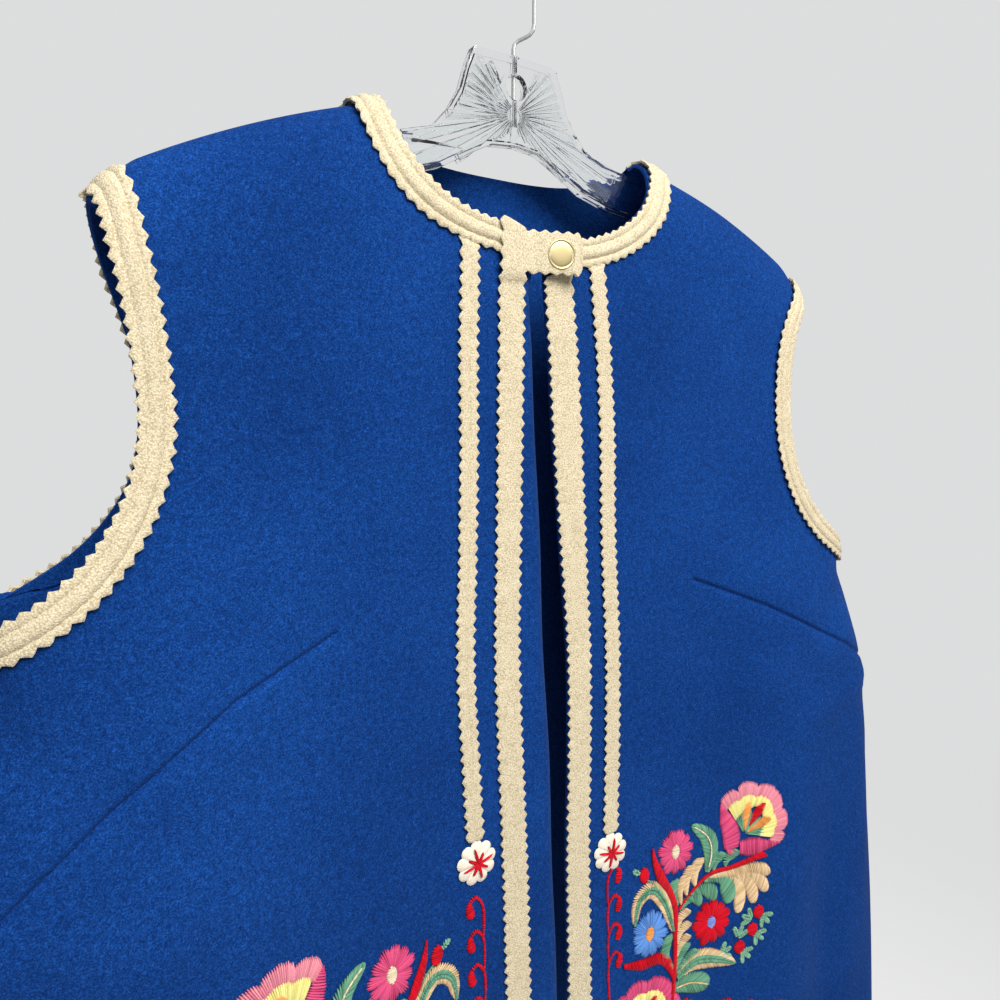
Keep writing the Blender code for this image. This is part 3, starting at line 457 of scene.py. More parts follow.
def tableValue(rows, k, drop):
    last = len(rows) - 1
    if drop <= rows[0][0]:
        return rows[0][k]
    if drop >= rows[last][0]:
        return rows[last][k]
    i = max(n for n in range(last) if rows[n][0] <= drop)
    x0, x1 = rows[i][0], rows[i + 1][0]

    def slope(n):
        a, b = max(n - 1, 0), min(n + 1, last)
        return (rows[b][k] - rows[a][k]) / (rows[b][0] - rows[a][0])

    t = (drop - x0) / (x1 - x0)
    m0, m1 = slope(i) * (x1 - x0), slope(i + 1) * (x1 - x0)
    return ((2 * t**3 - 3 * t**2 + 1) * rows[i][k] + (t**3 - 2 * t**2 + t) * m0
            + (-2 * t**3 + 3 * t**2) * rows[i + 1][k] + (t**3 - t**2) * m1)


closeTable = {"step": 0.0005, "rows": 1300}      # each table is worked out once, row by row


def fineTable(rows, columns):
    return {key: [tableValue(rows, k, i * closeTable["step"]) for i in range(closeTable["rows"])]
            for k, key in enumerate(columns)}


fineSections = fineTable(sections, sectionColumns)
fineStrips = fineTable(strips, stripColumns)


def readTable(table, key, drop):
    place = min(closeTable["rows"] - 2.0, max(0.0, drop / closeTable["step"]))
    i = int(place)
    return table[key][i] + (table[key][i + 1] - table[key][i]) * (place - i)


def section(key, drop):
    return readTable(fineSections, key, drop)


def stripValue(key, drop):
    return readTable(fineStrips, key, drop)


def shoulderDrop(reach):
    out = abs(reach) - shoulder["neck"]
    sink = 0.0
    if reach > 0:
        sink = shoulder["leftSink"] * (
            1 - ease((out + shoulder["sinkBefore"]) / shoulder["sinkOver"]))
    droop = shoulder["tipDroop"] * ease((abs(reach) - shoulder["droopFrom"]) / shoulder["droopOver"])
    return (shoulder["level"] + shoulder["slope"] * out + shoulder["curve"] * out * abs(out)
            + sink + droop)


def shoulderY(reach):
    forward = ease((abs(reach) - shoulder["swingFrom"]) / shoulder["swingOver"])
    return shoulder["y"] - shoulder["swing"] * forward


def sideArc(depth):
    return math.pi / 2 * math.sqrt((vest["sideRound"]**2 + depth**2) / 2)


def panelDepth(panel, across, drop):
    if panel == "back":
        return section("back", drop)
    centre, lobe = section("centre", drop), section("lobe", drop)
    out = min(1.0, across / vest["lobeReach"])
    return centre + (lobe - centre) * out**3 * (4 - 3 * out)


def fullReach(panel, drop):
    flat = section("half", drop) - vest["sideRound"]
    return flat + sideArc(panelDepth(panel, vest["lobeReach"], drop))


# point of the cloth's outer face at a reach round the body and a drop below the shoulder
def surface(panel, reach, drop):
    sign = -1.0 if reach < 0 else 1.0
    across = abs(reach)
    flat = section("half", drop) - vest["sideRound"]
    if across <= flat:
        x, y = across, panelDepth(panel, across, drop)
    else:
        depth = panelDepth(panel, vest["lobeReach"], drop)
        turn = (across - flat) / sideArc(depth) * math.pi / 2
        x = flat + vest["sideRound"] * math.sin(turn)
        y = panelDepth(panel, across, drop) * math.cos(turn)
    side = -1.0 if panel != "back" else 1.0
    for name, at, first, full, depth, spread in folds:
        if name == panel:
            y -= side * depth * ease((drop - first) / (full - first)) \
                * math.exp(-((reach - at) / spread) ** 2)
    below = max(0.0, drop - shoulderDrop(reach)) / shoulder["round"]
    roll = math.sqrt(1 - (1 - below) ** 2) if below < 1 else 1.0
    ridge = shoulderY(reach)
    y = ridge + (y - ridge) * roll + side * vest["seam"]
    return Vector((sign * x + vest["offsetX"], y, vest["datumZ"] - drop))


def surfaceNormal(panel, reach, drop):
    step = 1e-5
    drop = max(drop, shoulderDrop(reach) + step)
    along = surface(panel, reach + step, drop) - surface(panel, reach - step, drop)
    down = surface(panel, reach, drop + step) - surface(panel, reach, drop)
    normal = along.cross(down).normalized()
    return normal if panel == "back" else -normal


# how far along a line a place is, as a share of the line, and how far it is from it
def nearLine(start, end, reach, drop):
    alongR, alongD = end[0] - start[0], end[1] - start[1]
    size = alongR**2 + alongD**2
    share = ((reach - start[0]) * alongR + (drop - start[1]) * alongD) / size
    held = min(1.0, max(0.0, share))
    return share, math.hypot(reach - start[0] - alongR * held, drop - start[1] - alongD * held)


def edgeReach(side, drop):
    out = stripValue(side + "Width", drop) / 2 + stripValue(side + "Margin", drop)
    return stripValue(side, drop) - sideSign(side) * out


# what the finer creases and the darts add to the face
def relief(panel, reach, drop):
    total = 0.0
    for name, start, end, height, half in creases:
        if name == panel and abs(reach - start[0]) < creaseFar["sideways"]:
            away = nearLine(start, end, reach, drop)[1]
            if away < half * creaseFar["halves"]:
                total += height * math.exp(-(away / half) ** 2)
    path = darts.get(panel, ())
    for start, end in zip(path, path[1:]):
        share, away = nearLine(start, end, reach, drop)
        if away < dartSizes["swellHalf"] * 3 and -dartSizes["before"] < share < 1.0:
            total -= dartSizes["groove"] * math.exp(-(away / dartSizes["grooveHalf"]) ** 2)
            low = (away - dartSizes["swellOff"]) / dartSizes["swellHalf"]
            total += dartSizes["swell"] * 0.5 * math.exp(-low**2) * (
                ease((share + (0.0 if start == path[0] else 1.0)) / dartSizes["fade"]))
            break
    return total


# the wearer's right front edge turns back, below the neck trim
marginRoll = {"depth": 0.0042, "width": 0.0075, "seam": 0.0008, "from": 0.062, "start": 0.080,
              "fade": 0.012}


def clothPoint(panel, reach, drop, lift=0.0):
    normal = surfaceNormal(panel, reach, drop)
    point = surface(panel, reach, drop) + normal * (relief(panel, reach, drop) + lift)
    if panel == "right" and drop > marginRoll["from"]:
        wide = min(marginRoll["width"], stripValue("rightMargin", drop) - marginRoll["seam"])
        turned = min(1.0, max(0.0, (reach - edgeReach("right", drop)) / wide + 1)) ** 2
        point.y += marginRoll["depth"] * turned * ease(
            (drop - marginRoll["start"]) / marginRoll["fade"])
    return point, normal


# edges of the pattern pieces; a panel's edge is given as reach and drop
def neckline(panel, angle, inset):
    half, low, square = neckSizes[panel]
    half, low = half + inset, low + inset
    power = 2 / square
    top = shoulderDrop(half * sideSign(panel))
    return half * math.sin(angle) ** power, top + (low - top) * max(0.0, math.cos(angle)) ** power


def neckAngle(panel, reach, inset=0.0):
    half, _, square = neckSizes[panel]
    return math.asin((reach / (half + inset)) ** (square / 2))


def faceOf(panel):
    return "back" if panel.startswith("back") else panel


# the shoulder's end: reach and drop
def shoulderTip(panel):
    tip = armholeSizes[panel][0]
    return tip, shoulderDrop(tip * sideSign(panel))


def armhole(panel, t):
    tip, tuck, high, bend, narrow, level, low, sweep, under = armholeSizes[panel]
    if t < 0.4:
        return bezier(shoulderTip(panel), (tip - tuck, high), (narrow, bend), (narrow, level),
                      t / 0.4)
    return bezier((narrow, level), (narrow, low), (sweep, under),
                  (fullReach(faceOf(panel), under), under), (t - 0.4) / 0.6)


# at the shoulder the armhole's edge runs along the seam, over this share of its length
armholeTop = {"share": 0.12, "aim": Vector((-0.84, -0.54))}


def armholeInset(panel, t, inset):
    step = 1e-4
    (r0, d0), (r1, d1) = armhole(panel, max(0.0, t - step)), armhole(panel, min(1.0, t + step))
    along = Vector((r1 - r0, d1 - d0)).normalized()
    reach, drop = armhole(panel, t)
    turn = ease(1 - t / armholeTop["share"])
    into = (Vector((-along.y, along.x)) * (1 - turn) + armholeTop["aim"] * turn).normalized()
    reach, drop = reach + into.x * inset, drop + into.y * inset
    if t < armholeTop["share"]:
        drop = drop + (shoulderDrop(reach * sideSign(panel)) - drop) * turn
    return reach, drop


def sideBoundary(panel, v):
    under = armholeSizes[panel][-1]
    if v <= vest["rowUnderarm"]:
        drop = vest["hem"] + (under - vest["hem"]) * v / vest["rowUnderarm"]
        return fullReach(faceOf(panel), drop), drop
    return armhole(panel, 1 - (v - vest["rowUnderarm"]) / (1 - vest["rowUnderarm"]))


def insideEdge(side, drop):
    return edgeReach(side, drop) * sideSign(side)


def frontBoundary(side, v):
    low = neckSizes[side][1]
    if v <= vest["rowNeck"]:
        drop = vest["hem"] + (low - vest["hem"]) * v / vest["rowNeck"]
        return insideEdge(side, drop), drop
    start = neckAngle(side, max(0.0, insideEdge(side, low)))
    turn = (v - vest["rowNeck"]) / (1 - vest["rowNeck"])
    return neckline(side, start + (math.pi / 2 - start) * turn, 0.0)


def frontPoint(side, s, v):
    (r0, d0), (r1, d1) = frontBoundary(side, v), sideBoundary(side, v)
    (c0, e0), (c1, e1) = frontBoundary(side, 1.0), sideBoundary(side, 1.0)
    ridge = c0 + (c1 - c0) * s
    lift = shoulderDrop(ridge * sideSign(side)) - (e0 + (e1 - e0) * s)
    return (r0 + (r1 - r0) * s,
            d0 + (d1 - d0) * s + lift * ease((v - vest["rowNeck"]) / (1 - vest["rowNeck"])))


def backPoint(s, v):
    share = (s + 1) / 2
    (r0, d0), (r1, d1) = sideBoundary("backRight", v), sideBoundary("backLeft", v)
    reach, drop = r0 + (r1 - r0) * share, d0 + (d1 - d0) * share
    (tip0, end0), (tip1, end1) = shoulderTip("backRight"), shoulderTip("backLeft")
    tip, end = tip0 + (tip1 - tip0) * share, end0 + (end1 - end0) * share
    half = "backRight" if s < 0 else "backLeft"
    if abs(s) < vest["neckShare"]:
        topReach, topDrop = neckline(half, math.pi / 2 * abs(s) / vest["neckShare"], 0.0)
    else:
        out = (abs(s) - vest["neckShare"]) / (1 - vest["neckShare"])
        topReach = neckSizes[half][0] + (armholeSizes[half][0] - neckSizes[half][0]) * out
        topDrop = shoulderDrop(math.copysign(topReach, s))
    topReach = math.copysign(topReach, s)
    return (s * reach + v * v * (topReach - s * tip), drop + v * v * (topDrop - end))


def ridePiece(name, mesh):
    piece = placeInScene(name, mesh)
    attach(piece, "root")
    return piece


def finishPiece(name, bm, finish, smooth=True):
    mesh = bpy.data.meshes.new(name)
    bm.to_mesh(mesh)
    bm.free()
    if smooth:
        mesh.shade_smooth()
    mesh.materials.append(finish)
    return ridePiece(name, mesh)


frontwards, backwards = Vector((0, -1, 0)), Vector((0, 1, 0))


# turns an open sheet to face the given way
def faceTowards(bm, way):
    bmesh.ops.recalc_face_normals(bm, faces=bm.faces[:])
    votes = sum(1 if face.normal.dot(way) > 0 else -1 for face in bm.faces)
    if votes < 0:
        bmesh.ops.reverse_faces(bm, faces=bm.faces[:])


def thicken(piece, thickness, edge):
    wall = piece.modifiers.new("wall", "SOLIDIFY")
    wall.thickness = thickness
    wall.offset = -1.0
    rounding = piece.modifiers.new("rounding", "BEVEL")
    rounding.width = edge
    rounding.segments = 2
    rounding.limit_method = "ANGLE"
    rounding.angle_limit = math.radians(50)
    rounding.harden_normals = False


# fronts and back: columns and rows of each panel, closer together towards its edges
clothMesh = {"frontColumns": 92, "backColumns": 150, "lowRows": 96, "middleRows": 40, "topRows": 40,
             "lowPower": 1.25, "topPower": 1.9, "sidePower": 1.12, "edgeRound": 0.0006}


def fineRows():
    low, mid, top = clothMesh["lowRows"], clothMesh["middleRows"], clothMesh["topRows"]
    under, neck = vest["rowUnderarm"], vest["rowNeck"]
    rows = [under * (1 - (1 - i / low) ** clothMesh["lowPower"]) for i in range(low)]
    rows += [under + (neck - under) * i / mid for i in range(mid)]
    return rows + [1 - (1 - neck) * (1 - i / top) ** clothMesh["topPower"] for i in range(top + 1)]


def makePanel(name, panel, columns, place):
    rows = fineRows()
    bm = bmesh.new()
    bmesh.ops.create_grid(bm, x_segments=columns, y_segments=len(rows) - 1, size=0.5)
    for vert in bm.verts:                       # the flat pattern first: reach and drop
        s, v = vert.co.x + 0.5, rows[round((vert.co.y + 0.5) * (len(rows) - 1))]
        reach, drop = place(s, v)
        vert.co = (reach, -drop, 0.0)
    if panel in darts:                          # finer mesh beside the dart
        path = darts[panel]
        near = []
        for edge in bm.edges:
            middle = (edge.verts[0].co + edge.verts[1].co) / 2
            away = min(nearLine(a, b, middle.x, -middle.y)[1] for a, b in zip(path, path[1:]))
            if away < dartSizes["refine"]:
                near.append(edge)
        bmesh.ops.subdivide_edges(bm, edges=near, cuts=dartSizes["cuts"], use_grid_fill=True)
    for vert in bm.verts:
        vert.co = clothPoint(panel, vert.co.x, -vert.co.y)[0]
    faceTowards(bm, backwards if panel == "back" else frontwards)
    piece = finishPiece(name, bm, makeFinish("blueWool"))
    thicken(piece, vest["cloth"], clothMesh["edgeRound"])
    return piece


def makeCloth():
    made = {}
    for side in ("right", "left"):
        def place(s, v):
            reach, drop = frontPoint(side, 1 - (1 - s) ** clothMesh["sidePower"], v)
            return sideSign(side) * reach, drop

        made[side] = makePanel("cloth_front_" + side, side, clothMesh["frontColumns"], place)
        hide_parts("front_" + side)
    made["back"] = makePanel("cloth_back", "back", clothMesh["backColumns"],
                             lambda s, v: backPoint(s * 2 - 1, v))
    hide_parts("back")
    return made


cloth = makeCloth()
print("cloth panels ready")

# pinked felt trims
trim = {
    "pitch": 0.00594, "thick": 0.0016, "clear": 0.00035, "overhang": 0.0015, "gap": 0.0003,
    "stepsPerTooth": 4, "jitter": 0.00022, "edgeRound": 0.00035, "weld": 0.00005,
    "armholeWidth": 0.0152, "armholeLift": 0.00015, "underarmLift": 0.0006, "shoulderLift": 0.0006,
    "underarmSpan": (0.36, 0.12), "shoulderSpan": (0.42, 0.05),
    "neckWidth": 0.0158, "neckStand": 0.0016, "neckInset": 0.0004, "neckStart": 0.0010,
    "overhangShare": 0.25, "standShare": 0.22, "innerWidth": 0.0122, "edgeWidth": 0.018,
}
tab = {
    "root": -0.0200, "end": 0.0170, "top": 0.0622, "foot": 0.0828, "width": 0.0200,
    "columns": 36, "rows": 12,
    "lift": 0.0022, "liftFrom": -0.0112, "liftOver": 0.0075, "tilt": math.radians(16), "curl": 0.25,
    "endRound": 0.004, "endPull": 0.0035, "wave": 0.0007, "waveLength": 0.0059, "puff": 0.0005,
}
# how deep each trim's teeth are cut, and where the first one starts
trimTeeth = {"neck": (0.0015, 0.0), "armhole": (0.0019, 0.0), "wide": (0.0021, 0.5),
             "seamed": (0.0020, 0.5)}
# across each trim: share of its width from the free edge, height of the face; dips are stitched
trimProfiles = {
    "neck": ((0.0, -0.00055), (0.06, -0.00015), (0.15, 0.0), (0.23, -0.00025), (0.28, -0.00075),
             (0.33, -0.00015), (0.43, 0.00055), (0.54, 0.00080), (0.63, 0.00045), (0.68, -0.00030),
             (0.715, -0.00085), (0.75, -0.00025), (0.83, 0.00020), (0.92, 0.00005), (1.0, -0.00050)),
    "armhole": ((0.0, -0.00050), (0.06, -0.00010), (0.15, 0.00005), (0.24, -0.00010),
                (0.285, -0.00055), (0.33, -0.00005), (0.45, 0.00055), (0.56, 0.00065),
                (0.67, 0.00030), (0.715, -0.00065), (0.76, -0.00010), (0.85, 0.00010),
                (0.94, -0.00005), (1.0, -0.00050)),
    "wide": ((0.0, -0.00050), (0.07, -0.00005), (0.18, 0.00020), (0.32, 0.00035), (0.50, 0.00045),
             (0.68, 0.00035), (0.82, 0.00020), (0.93, -0.00005), (1.0, -0.00050)),
    "seamed": ((0.0, -0.00050), (0.08, -0.00005), (0.22, 0.00025), (0.38, 0.00030),
               (0.46, 0.00010), (0.50, -0.00035), (0.54, 0.00010), (0.62, 0.00030), (0.78, 0.00025),
               (0.92, -0.00005), (1.0, -0.00050)),
}


def pinkedBand(name, place, length, width, profile, lift=None, closed=False):
    teeth = round(length / trim["pitch"])
    steps = teeth * trim["stepsPerTooth"]
    table, (tooth, notch) = trimProfiles[profile], trimTeeth[profile]
    rows = len(table) - 1
    noises = [[random.uniform(-1, 1) * trim["jitter"] for i in range(steps + 1)] for k in (0, 1)]
    if closed:
        for noise in noises:
            noise[-1] = noise[0]
    bm = bmesh.new()
    bmesh.ops.create_grid(bm, x_segments=steps, y_segments=rows, size=0.5)
    for vert in bm.verts:
        i, j = round((vert.co.x + 0.5) * steps), round((vert.co.y + 0.5) * rows)
        t = i / steps
        bite = tooth * (1 - abs((i / trim["stepsPerTooth"] + notch) % 1.0 * 2 - 1))
        share, height = table[j]
        low, high = max(0.0, 1 - 2 * share) ** 2, max(0.0, 2 * share - 1) ** 2
        across = share * width(t) + (bite + noises[0][i]) * low - (bite + noises[1][i]) * high
        rise = lift(t) if lift else 0.0
        point, normal = place(t, across)
        vert.co = point + normal * (trim["clear"] + rise + trim["thick"] + height)
    if closed:
        bmesh.ops.remove_doubles(bm, verts=bm.verts[:], dist=trim["weld"])
    faceSide(bm, place, width)
    piece = finishPiece(name, bm, makeFinish("creamFelt"))
    thicken(piece, trim["thick"], trim["edgeRound"])
    return piece


# ten places along a band tell which way the whole of it has to face
def faceSide(bm, place, width):
    bmesh.ops.recalc_face_normals(bm, faces=bm.faces[:])
    votes = 0
    for i in range(10):
        point, normal = place(i / 10, width(i / 10) / 2)
        closest = min(bm.faces, key=lambda face: (face.calc_center_median() - point).length_squared)
        votes += 1 if closest.normal.dot(normal) > 0 else -1
    if votes < 0:
        bmesh.ops.reverse_faces(bm, faces=bm.faces[:])


# a path's length, and the parameter at each share of it
def evenPath(pointAt, samples=400):
    points = [pointAt(i / samples) for i in range(samples + 1)]
    sums = [0.0]
    for a, b in zip(points, points[1:]):
        sums.append(sums[-1] + (b - a).length)
    total = sums[-1]

    def parameter(share):
        goal = share * total
        i = min(samples - 1, max(n for n in range(samples + 1) if sums[n] <= goal + 1e-12))
        span = sums[i + 1] - sums[i] or 1.0
        return (i + (goal - sums[i]) / span) / samples

    return total, parameter


# each strip's upper end follows the neckline; the narrow ones run on beneath its trim
stripTops = {"slope": 0.36, "fade": 0.014, "under": 0.0062, "sink": 0.0012, "level": 0.0790,
             "tucked": 0.0050, "tabClear": 0.0005, "tabFade": 0.0060, "hemClear": 0.0005}


def tuckedLift(first, last):
    length = last - first
    return lambda t: -stripTops["sink"] * (1 - ease(t * length / stripTops["under"]))


def makeStrip(name, side, middle, width, first, last, profile, lift=None):
    def place(t, across):
        drop = first + (last - first) * t
        out = across - width(drop) / 2
        drop -= stripTops["slope"] * out * (1 - ease((drop - first) / stripTops["fade"]))
        reach = stripValue(middle, drop) + sideSign(side) * out
        normal = surfaceNormal(side, reach, drop)
        return surface(side, reach, drop) + normal * relief(side, reach, drop), normal

    return pinkedBand(name, place, last - first, lambda t: width(first + (last - first) * t),
                      profile, lift)


# round the neck in four quarters: right front, both halves of the back, left front
def neckPlace(t, across):
    quarter = t * 4
    behind = ease((1 + trim["overhangShare"] - abs(quarter - 2)) / trim["overhangShare"])
    inset = across - (trim["overhang"] * (1 - behind) - trim["neckInset"])
    if quarter < 1:
        panel, sign = "right", -1
        start = neckAngle(panel, trim["gap"] - tab["root"])
        angle = start + (math.pi / 2 - start) * quarter
    elif quarter < 3:
        sign = -1 if quarter < 2 else 1
        panel = "backRight" if sign < 0 else "backLeft"
        angle = math.pi / 2 * abs(2 - quarter)
    else:
        panel, sign = "left", 1
        start = neckAngle(panel, trim["neckStart"])
        angle = math.pi / 2 - (math.pi / 2 - start) * (quarter - 3)
    reach, drop = neckline(panel, angle, inset)
    face = faceOf(panel)
    normal = surfaceNormal(face, sign * reach, drop)
    stand = trim["neckStand"] * (1 - ease(abs(abs(quarter - 2) - 1) / trim["standShare"]))
    return surface(face, sign * reach, drop) + normal * stand, normal


almostEnd = 0.999999      # bands are read just short of their far end


def makeNeckTrim():
    total, parameter = evenPath(
        lambda t: neckPlace(min(t, almostEnd), trim["neckWidth"] / 2)[0])
    return pinkedBand("trim_neck", lambda t, a: neckPlace(min(parameter(t), almostEnd), a),
                      total, lambda t: trim["neckWidth"], "neck"), total


def makeArmholeTrim(side):
    sign = sideSign(side)

    def place(t, across):
        half = (t % 1.0) * 2
        panel = side if half < 1 else "back" + side.capitalize()
        reach, drop = armholeInset(panel, half if half < 1 else 2 - half, across - trim["overhang"])
        normal = surfaceNormal(faceOf(panel), sign * reach, drop)
        return surface(faceOf(panel), sign * reach, drop), normal

    def lift(t):
        away = abs(t - 0.5)
        (under, underFade), (top, topFade) = trim["underarmSpan"], trim["shoulderSpan"]
        return (trim["armholeLift"] + trim["underarmLift"] * ease((under - away) / underFade)
                + trim["shoulderLift"] * ease((away - top) / topFade))

    total, parameter = evenPath(
        lambda t: place(min(t, almostEnd), trim["armholeWidth"] / 2)[0])
    return pinkedBand("trim_armhole_" + side, lambda t, a: place(parameter(t), a), total,
                      lambda t: trim["armholeWidth"], "armhole", lift, closed=True), total


snap = {"radius": 0.0075, "reach": 0.0040, "drop": 0.0730, "steps": 56, "weld": 0.000002}


# how far the slope under the snap carries the tab outwards
def tabSlope(reach):
    run = 2 * snap["radius"] * math.cos(tab["tilt"])
    along = reach - (snap["reach"] - run / 2)
    slope = math.tan(tab["tilt"]) * min(max(0.0, along), run)
    return slope - tab["curl"] * max(0.0, along - run)


def makeTab():
    bm = bmesh.new()
    bmesh.ops.create_grid(bm, x_segments=tab["columns"], y_segments=tab["rows"], size=0.5)
    for vert in bm.verts:
        t, v = vert.co.x + 0.5, vert.co.y + 0.5
        reach = tab["root"] + (tab["end"] - tab["root"]) * t
        rise = trim["clear"] + trim["thick"] * 2 + tabSlope(reach)
        rise += tab["lift"] * ease((reach - tab["liftFrom"]) / tab["liftOver"])
        end = max(0.0, (reach - tab["end"] + tab["endRound"]) / tab["endRound"])
        pull = tab["endPull"] * (1 - math.sqrt(max(0.0, 1 - end * end)))
        wave = tab["wave"] * math.sin(reach / tab["waveLength"] * math.pi * 2)
        low, high = tab["foot"] - pull + wave, tab["top"] + pull - wave
        vert.co = surface("right" if reach < 0 else "left", reach, low + (high - low) * v)
        vert.co.y -= rise + tab["puff"] * math.sin(math.pi * v)
    faceTowards(bm, frontwards)
    piece = finishPiece("tab_closure", bm, makeFinish("creamFelt"))
    thicken(piece, trim["thick"], trim["edgeRound"])
    return piece


# where a narrow strip comes out from under the neck trim
def innerStripTop(side):
    inner = abs(stripValue(side + "Inner", stripTops["level"])) - trim["innerWidth"] / 2
    inset = trim["neckWidth"] - trim["overhang"] + trim["neckInset"]
    return neckline(side, neckAngle(side, inner, inset), inset)[1] + trim["gap"]


def stripFoot():
    return vest["hem"] - stripTops["hemClear"]


# the right wide strip lies on the tab's root at its upper end
def stripLift(t):
    drop = vest["stripTop"]["right"] + (stripFoot() - vest["stripTop"]["right"]) * t
    past = (drop - tab["foot"] - stripTops["tabClear"]) / stripTops["tabFade"]
    return (trim["thick"] + trim["clear"]) * (1 - ease(past))


def makeTrims():
    made = {}
    for side in ("right", "left"):
        top = vest["stripTop"][side]
        made["edge_strip_" + side] = (makeStrip(
            "strip_edge_" + side, side, side, lambda drop: stripValue(side + "Width", drop), top,
            stripFoot(), "wide", stripLift if side == "right" else None),
            trim["edgeWidth"], stripFoot() - top)
        innerTop, innerEnd = innerStripTop(side) - stripTops["tucked"], vest["stripEnd"][side]
        made["inner_strip_" + side] = (makeStrip(
            "strip_inner_" + side, side, side + "Inner", lambda drop: trim["innerWidth"], innerTop,
            innerEnd, "seamed" if side == "right" else "wide", tuckedLift(innerTop, innerEnd)),
            trim["innerWidth"], innerEnd - innerTop)
        ring, length = makeArmholeTrim(side)
        made["armhole_trim_" + side] = (ring, trim["armholeWidth"], length)
    neck, length = makeNeckTrim()
    made["neck_trim"] = (neck, trim["neckWidth"], length)
    made["closure_tab"] = (makeTab(), tab["width"], tab["end"] - tab["root"])
    for node, (piece, width, length) in made.items():
        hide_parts(node)
    return made


trims = makeTrims()
print("trims ready")

# embroidery, laid stitch by stitch; spacing, jitter and places are millimetres of reach and drop
stitch = {"spacing": 1.10, "jitter": 0.45, "edgeJitter": 0.4, "narrowest": 0.12, "shortest": 0.7,
          "long": 3.0, "thread": 0.00060, "crown": 0.00050, "sink": 0.00005, "endSize": 0.40,
          "darkest": 0.62}


# each needlework is a panel, a side, where its rose, vine and so on are moved, and its stitches
def newWork(panel, moves):
    return {"panel": panel, "sign": sideSign(panel), "moves": moves, "threads": []}


def addStitch(work, motif, yarn, start, end, lift=0.0, thick=1.0):
    moveX, moveY = work["moves"].get(motif, (0.0, 0.0))
    work["threads"].append((yarn, (start[0] + moveX, start[1] + moveY),
                            (end[0] + moveX, end[1] + moveY), lift, thick))


# smooth path through a few points
def curveAt(points, t):
    spans = len(points) - 1
    place = min(max(t, 0.0), 0.99999) * spans
    i = int(place)
    u = place - i
    p0, p1 = points[max(i - 1, 0)], points[i]
    p2, p3 = points[i + 1], points[min(i + 2, spans)]

    def blend(k):
        return 0.5 * (2 * p1[k] + (p2[k] - p0[k]) * u
                      + (2 * p0[k] - 5 * p1[k] + 4 * p2[k] - p3[k]) * u * u
                      + (3 * p1[k] - p0[k] - 3 * p2[k] + p3[k]) * u**3)

    return blend(0), blend(1)


def pathLength(points):
    marks = [curveAt(points, i / 40) for i in range(41)]
    return sum(math.dist(a, b) for a, b in zip(marks, marks[1:]))


# a place on the path, the way along it and the way across it
def frameAt(points, t):
    here = curveAt(points, t)
    (x0, y0), (x1, y1) = curveAt(points, t - 0.01), curveAt(points, t + 0.01)
    size = math.hypot(x1 - x0, y1 - y0) or 1.0
    along = ((x1 - x0) / size, (y1 - y0) / size)
    return here, along, (-along[1], along[0])


# evenly spaced stitches along a path whose points are not evenly spaced
def evenShare(points, share):
    sizes = [math.dist(a, b) for a, b in zip(points, points[1:])]
    goal = share * sum(sizes)
    for i, size in enumerate(sizes):
        if goal <= size or i == len(sizes) - 1:
            return (i + min(1.0, goal / size)) / len(sizes)
        goal -= size


# satin stitches side by side over a curved band; width(t) is its full width
def satinBand(work, motif, yarn, points, width, lift=0.0, lean=0.0):
    count = max(2, round(pathLength(points) / stitch["spacing"]))
    for i in range(count + 1):
        t = evenShare(points, i / count)
        (x, y), (ax, ay), (nx, ny) = frameAt(points, t)
        half = width(t) / 2
        if half < stitch["narrowest"]:
            continue
        wide = half + random.uniform(-1, 1) * stitch["jitter"] * stitch["edgeJitter"]
        ends = [(x + way * nx * wide + way * ax * lean * half,
                 y + way * ny * wide + way * ay * lean * half) for way in (-1, 1)]
        addStitch(work, motif, yarn, *ends, lift)


# a leaf in fishbone stitch: slanted stitches from the middle out to its own outline
def fishLeaf(work, motif, yarn, points, width, lift=0.0, slant=1.0, vein=None):
    length = pathLength(points)
    count = max(3, round(length / stitch["spacing"]))
    for side in (-1, 1):
        for i in range(count + 1):
            t = evenShare(points, i / count)
            ahead = min(1.0, t + slant * width(t) / 2 / length)
            start = curveAt(points, t)
            (x, y), _, (nx, ny) = frameAt(points, ahead)
            out = side * (width(ahead) / 2 + random.uniform(0, 1) * stitch["jitter"])
            end = (x + nx * out, y + ny * out)
            if math.dist(start, end) > stitch["shortest"]:
                addStitch(work, motif, yarn, start, end, lift)
    if vein:
        runningLine(work, motif, vein, points, 0.12, 0.92, lift + 0.0004)


# a line of long overlapping stitches along a path
def runningLine(work, motif, yarn, points, first, last, lift, step=2.4):
    count = max(2, round(pathLength(points) * (last - first) / step))
    for i in range(count):
        a = curveAt(points, first + (last - first) * (i - 0.12) / count)
        b = curveAt(points, first + (last - first) * (i + 1.12) / count)
        addStitch(work, motif, yarn, a, b, lift)


# widths along a band: round at its end, pointed at both ends, or through a list of them
def roundWidth(widest, peak, start=0.0):
    def width(t):
        if t < peak:
            return widest * (start + (1 - start) * math.sin(math.pi / 2 * t / peak))
        return widest * math.sqrt(max(0.0, 1 - ((t - peak) / (1 - peak)) ** 2))
    return width


def spindleWidth(widest, power):
    return lambda t: widest * max(0.0, math.sin(math.pi * min(1.0, max(0.0, t)))) ** power


def taper(widths):
    def width(t):
        place = min(0.9999, max(0.0, t)) * (len(widths) - 1)
        i = int(place)
        return widths[i] + (widths[i + 1] - widths[i]) * (place - i)
    return width


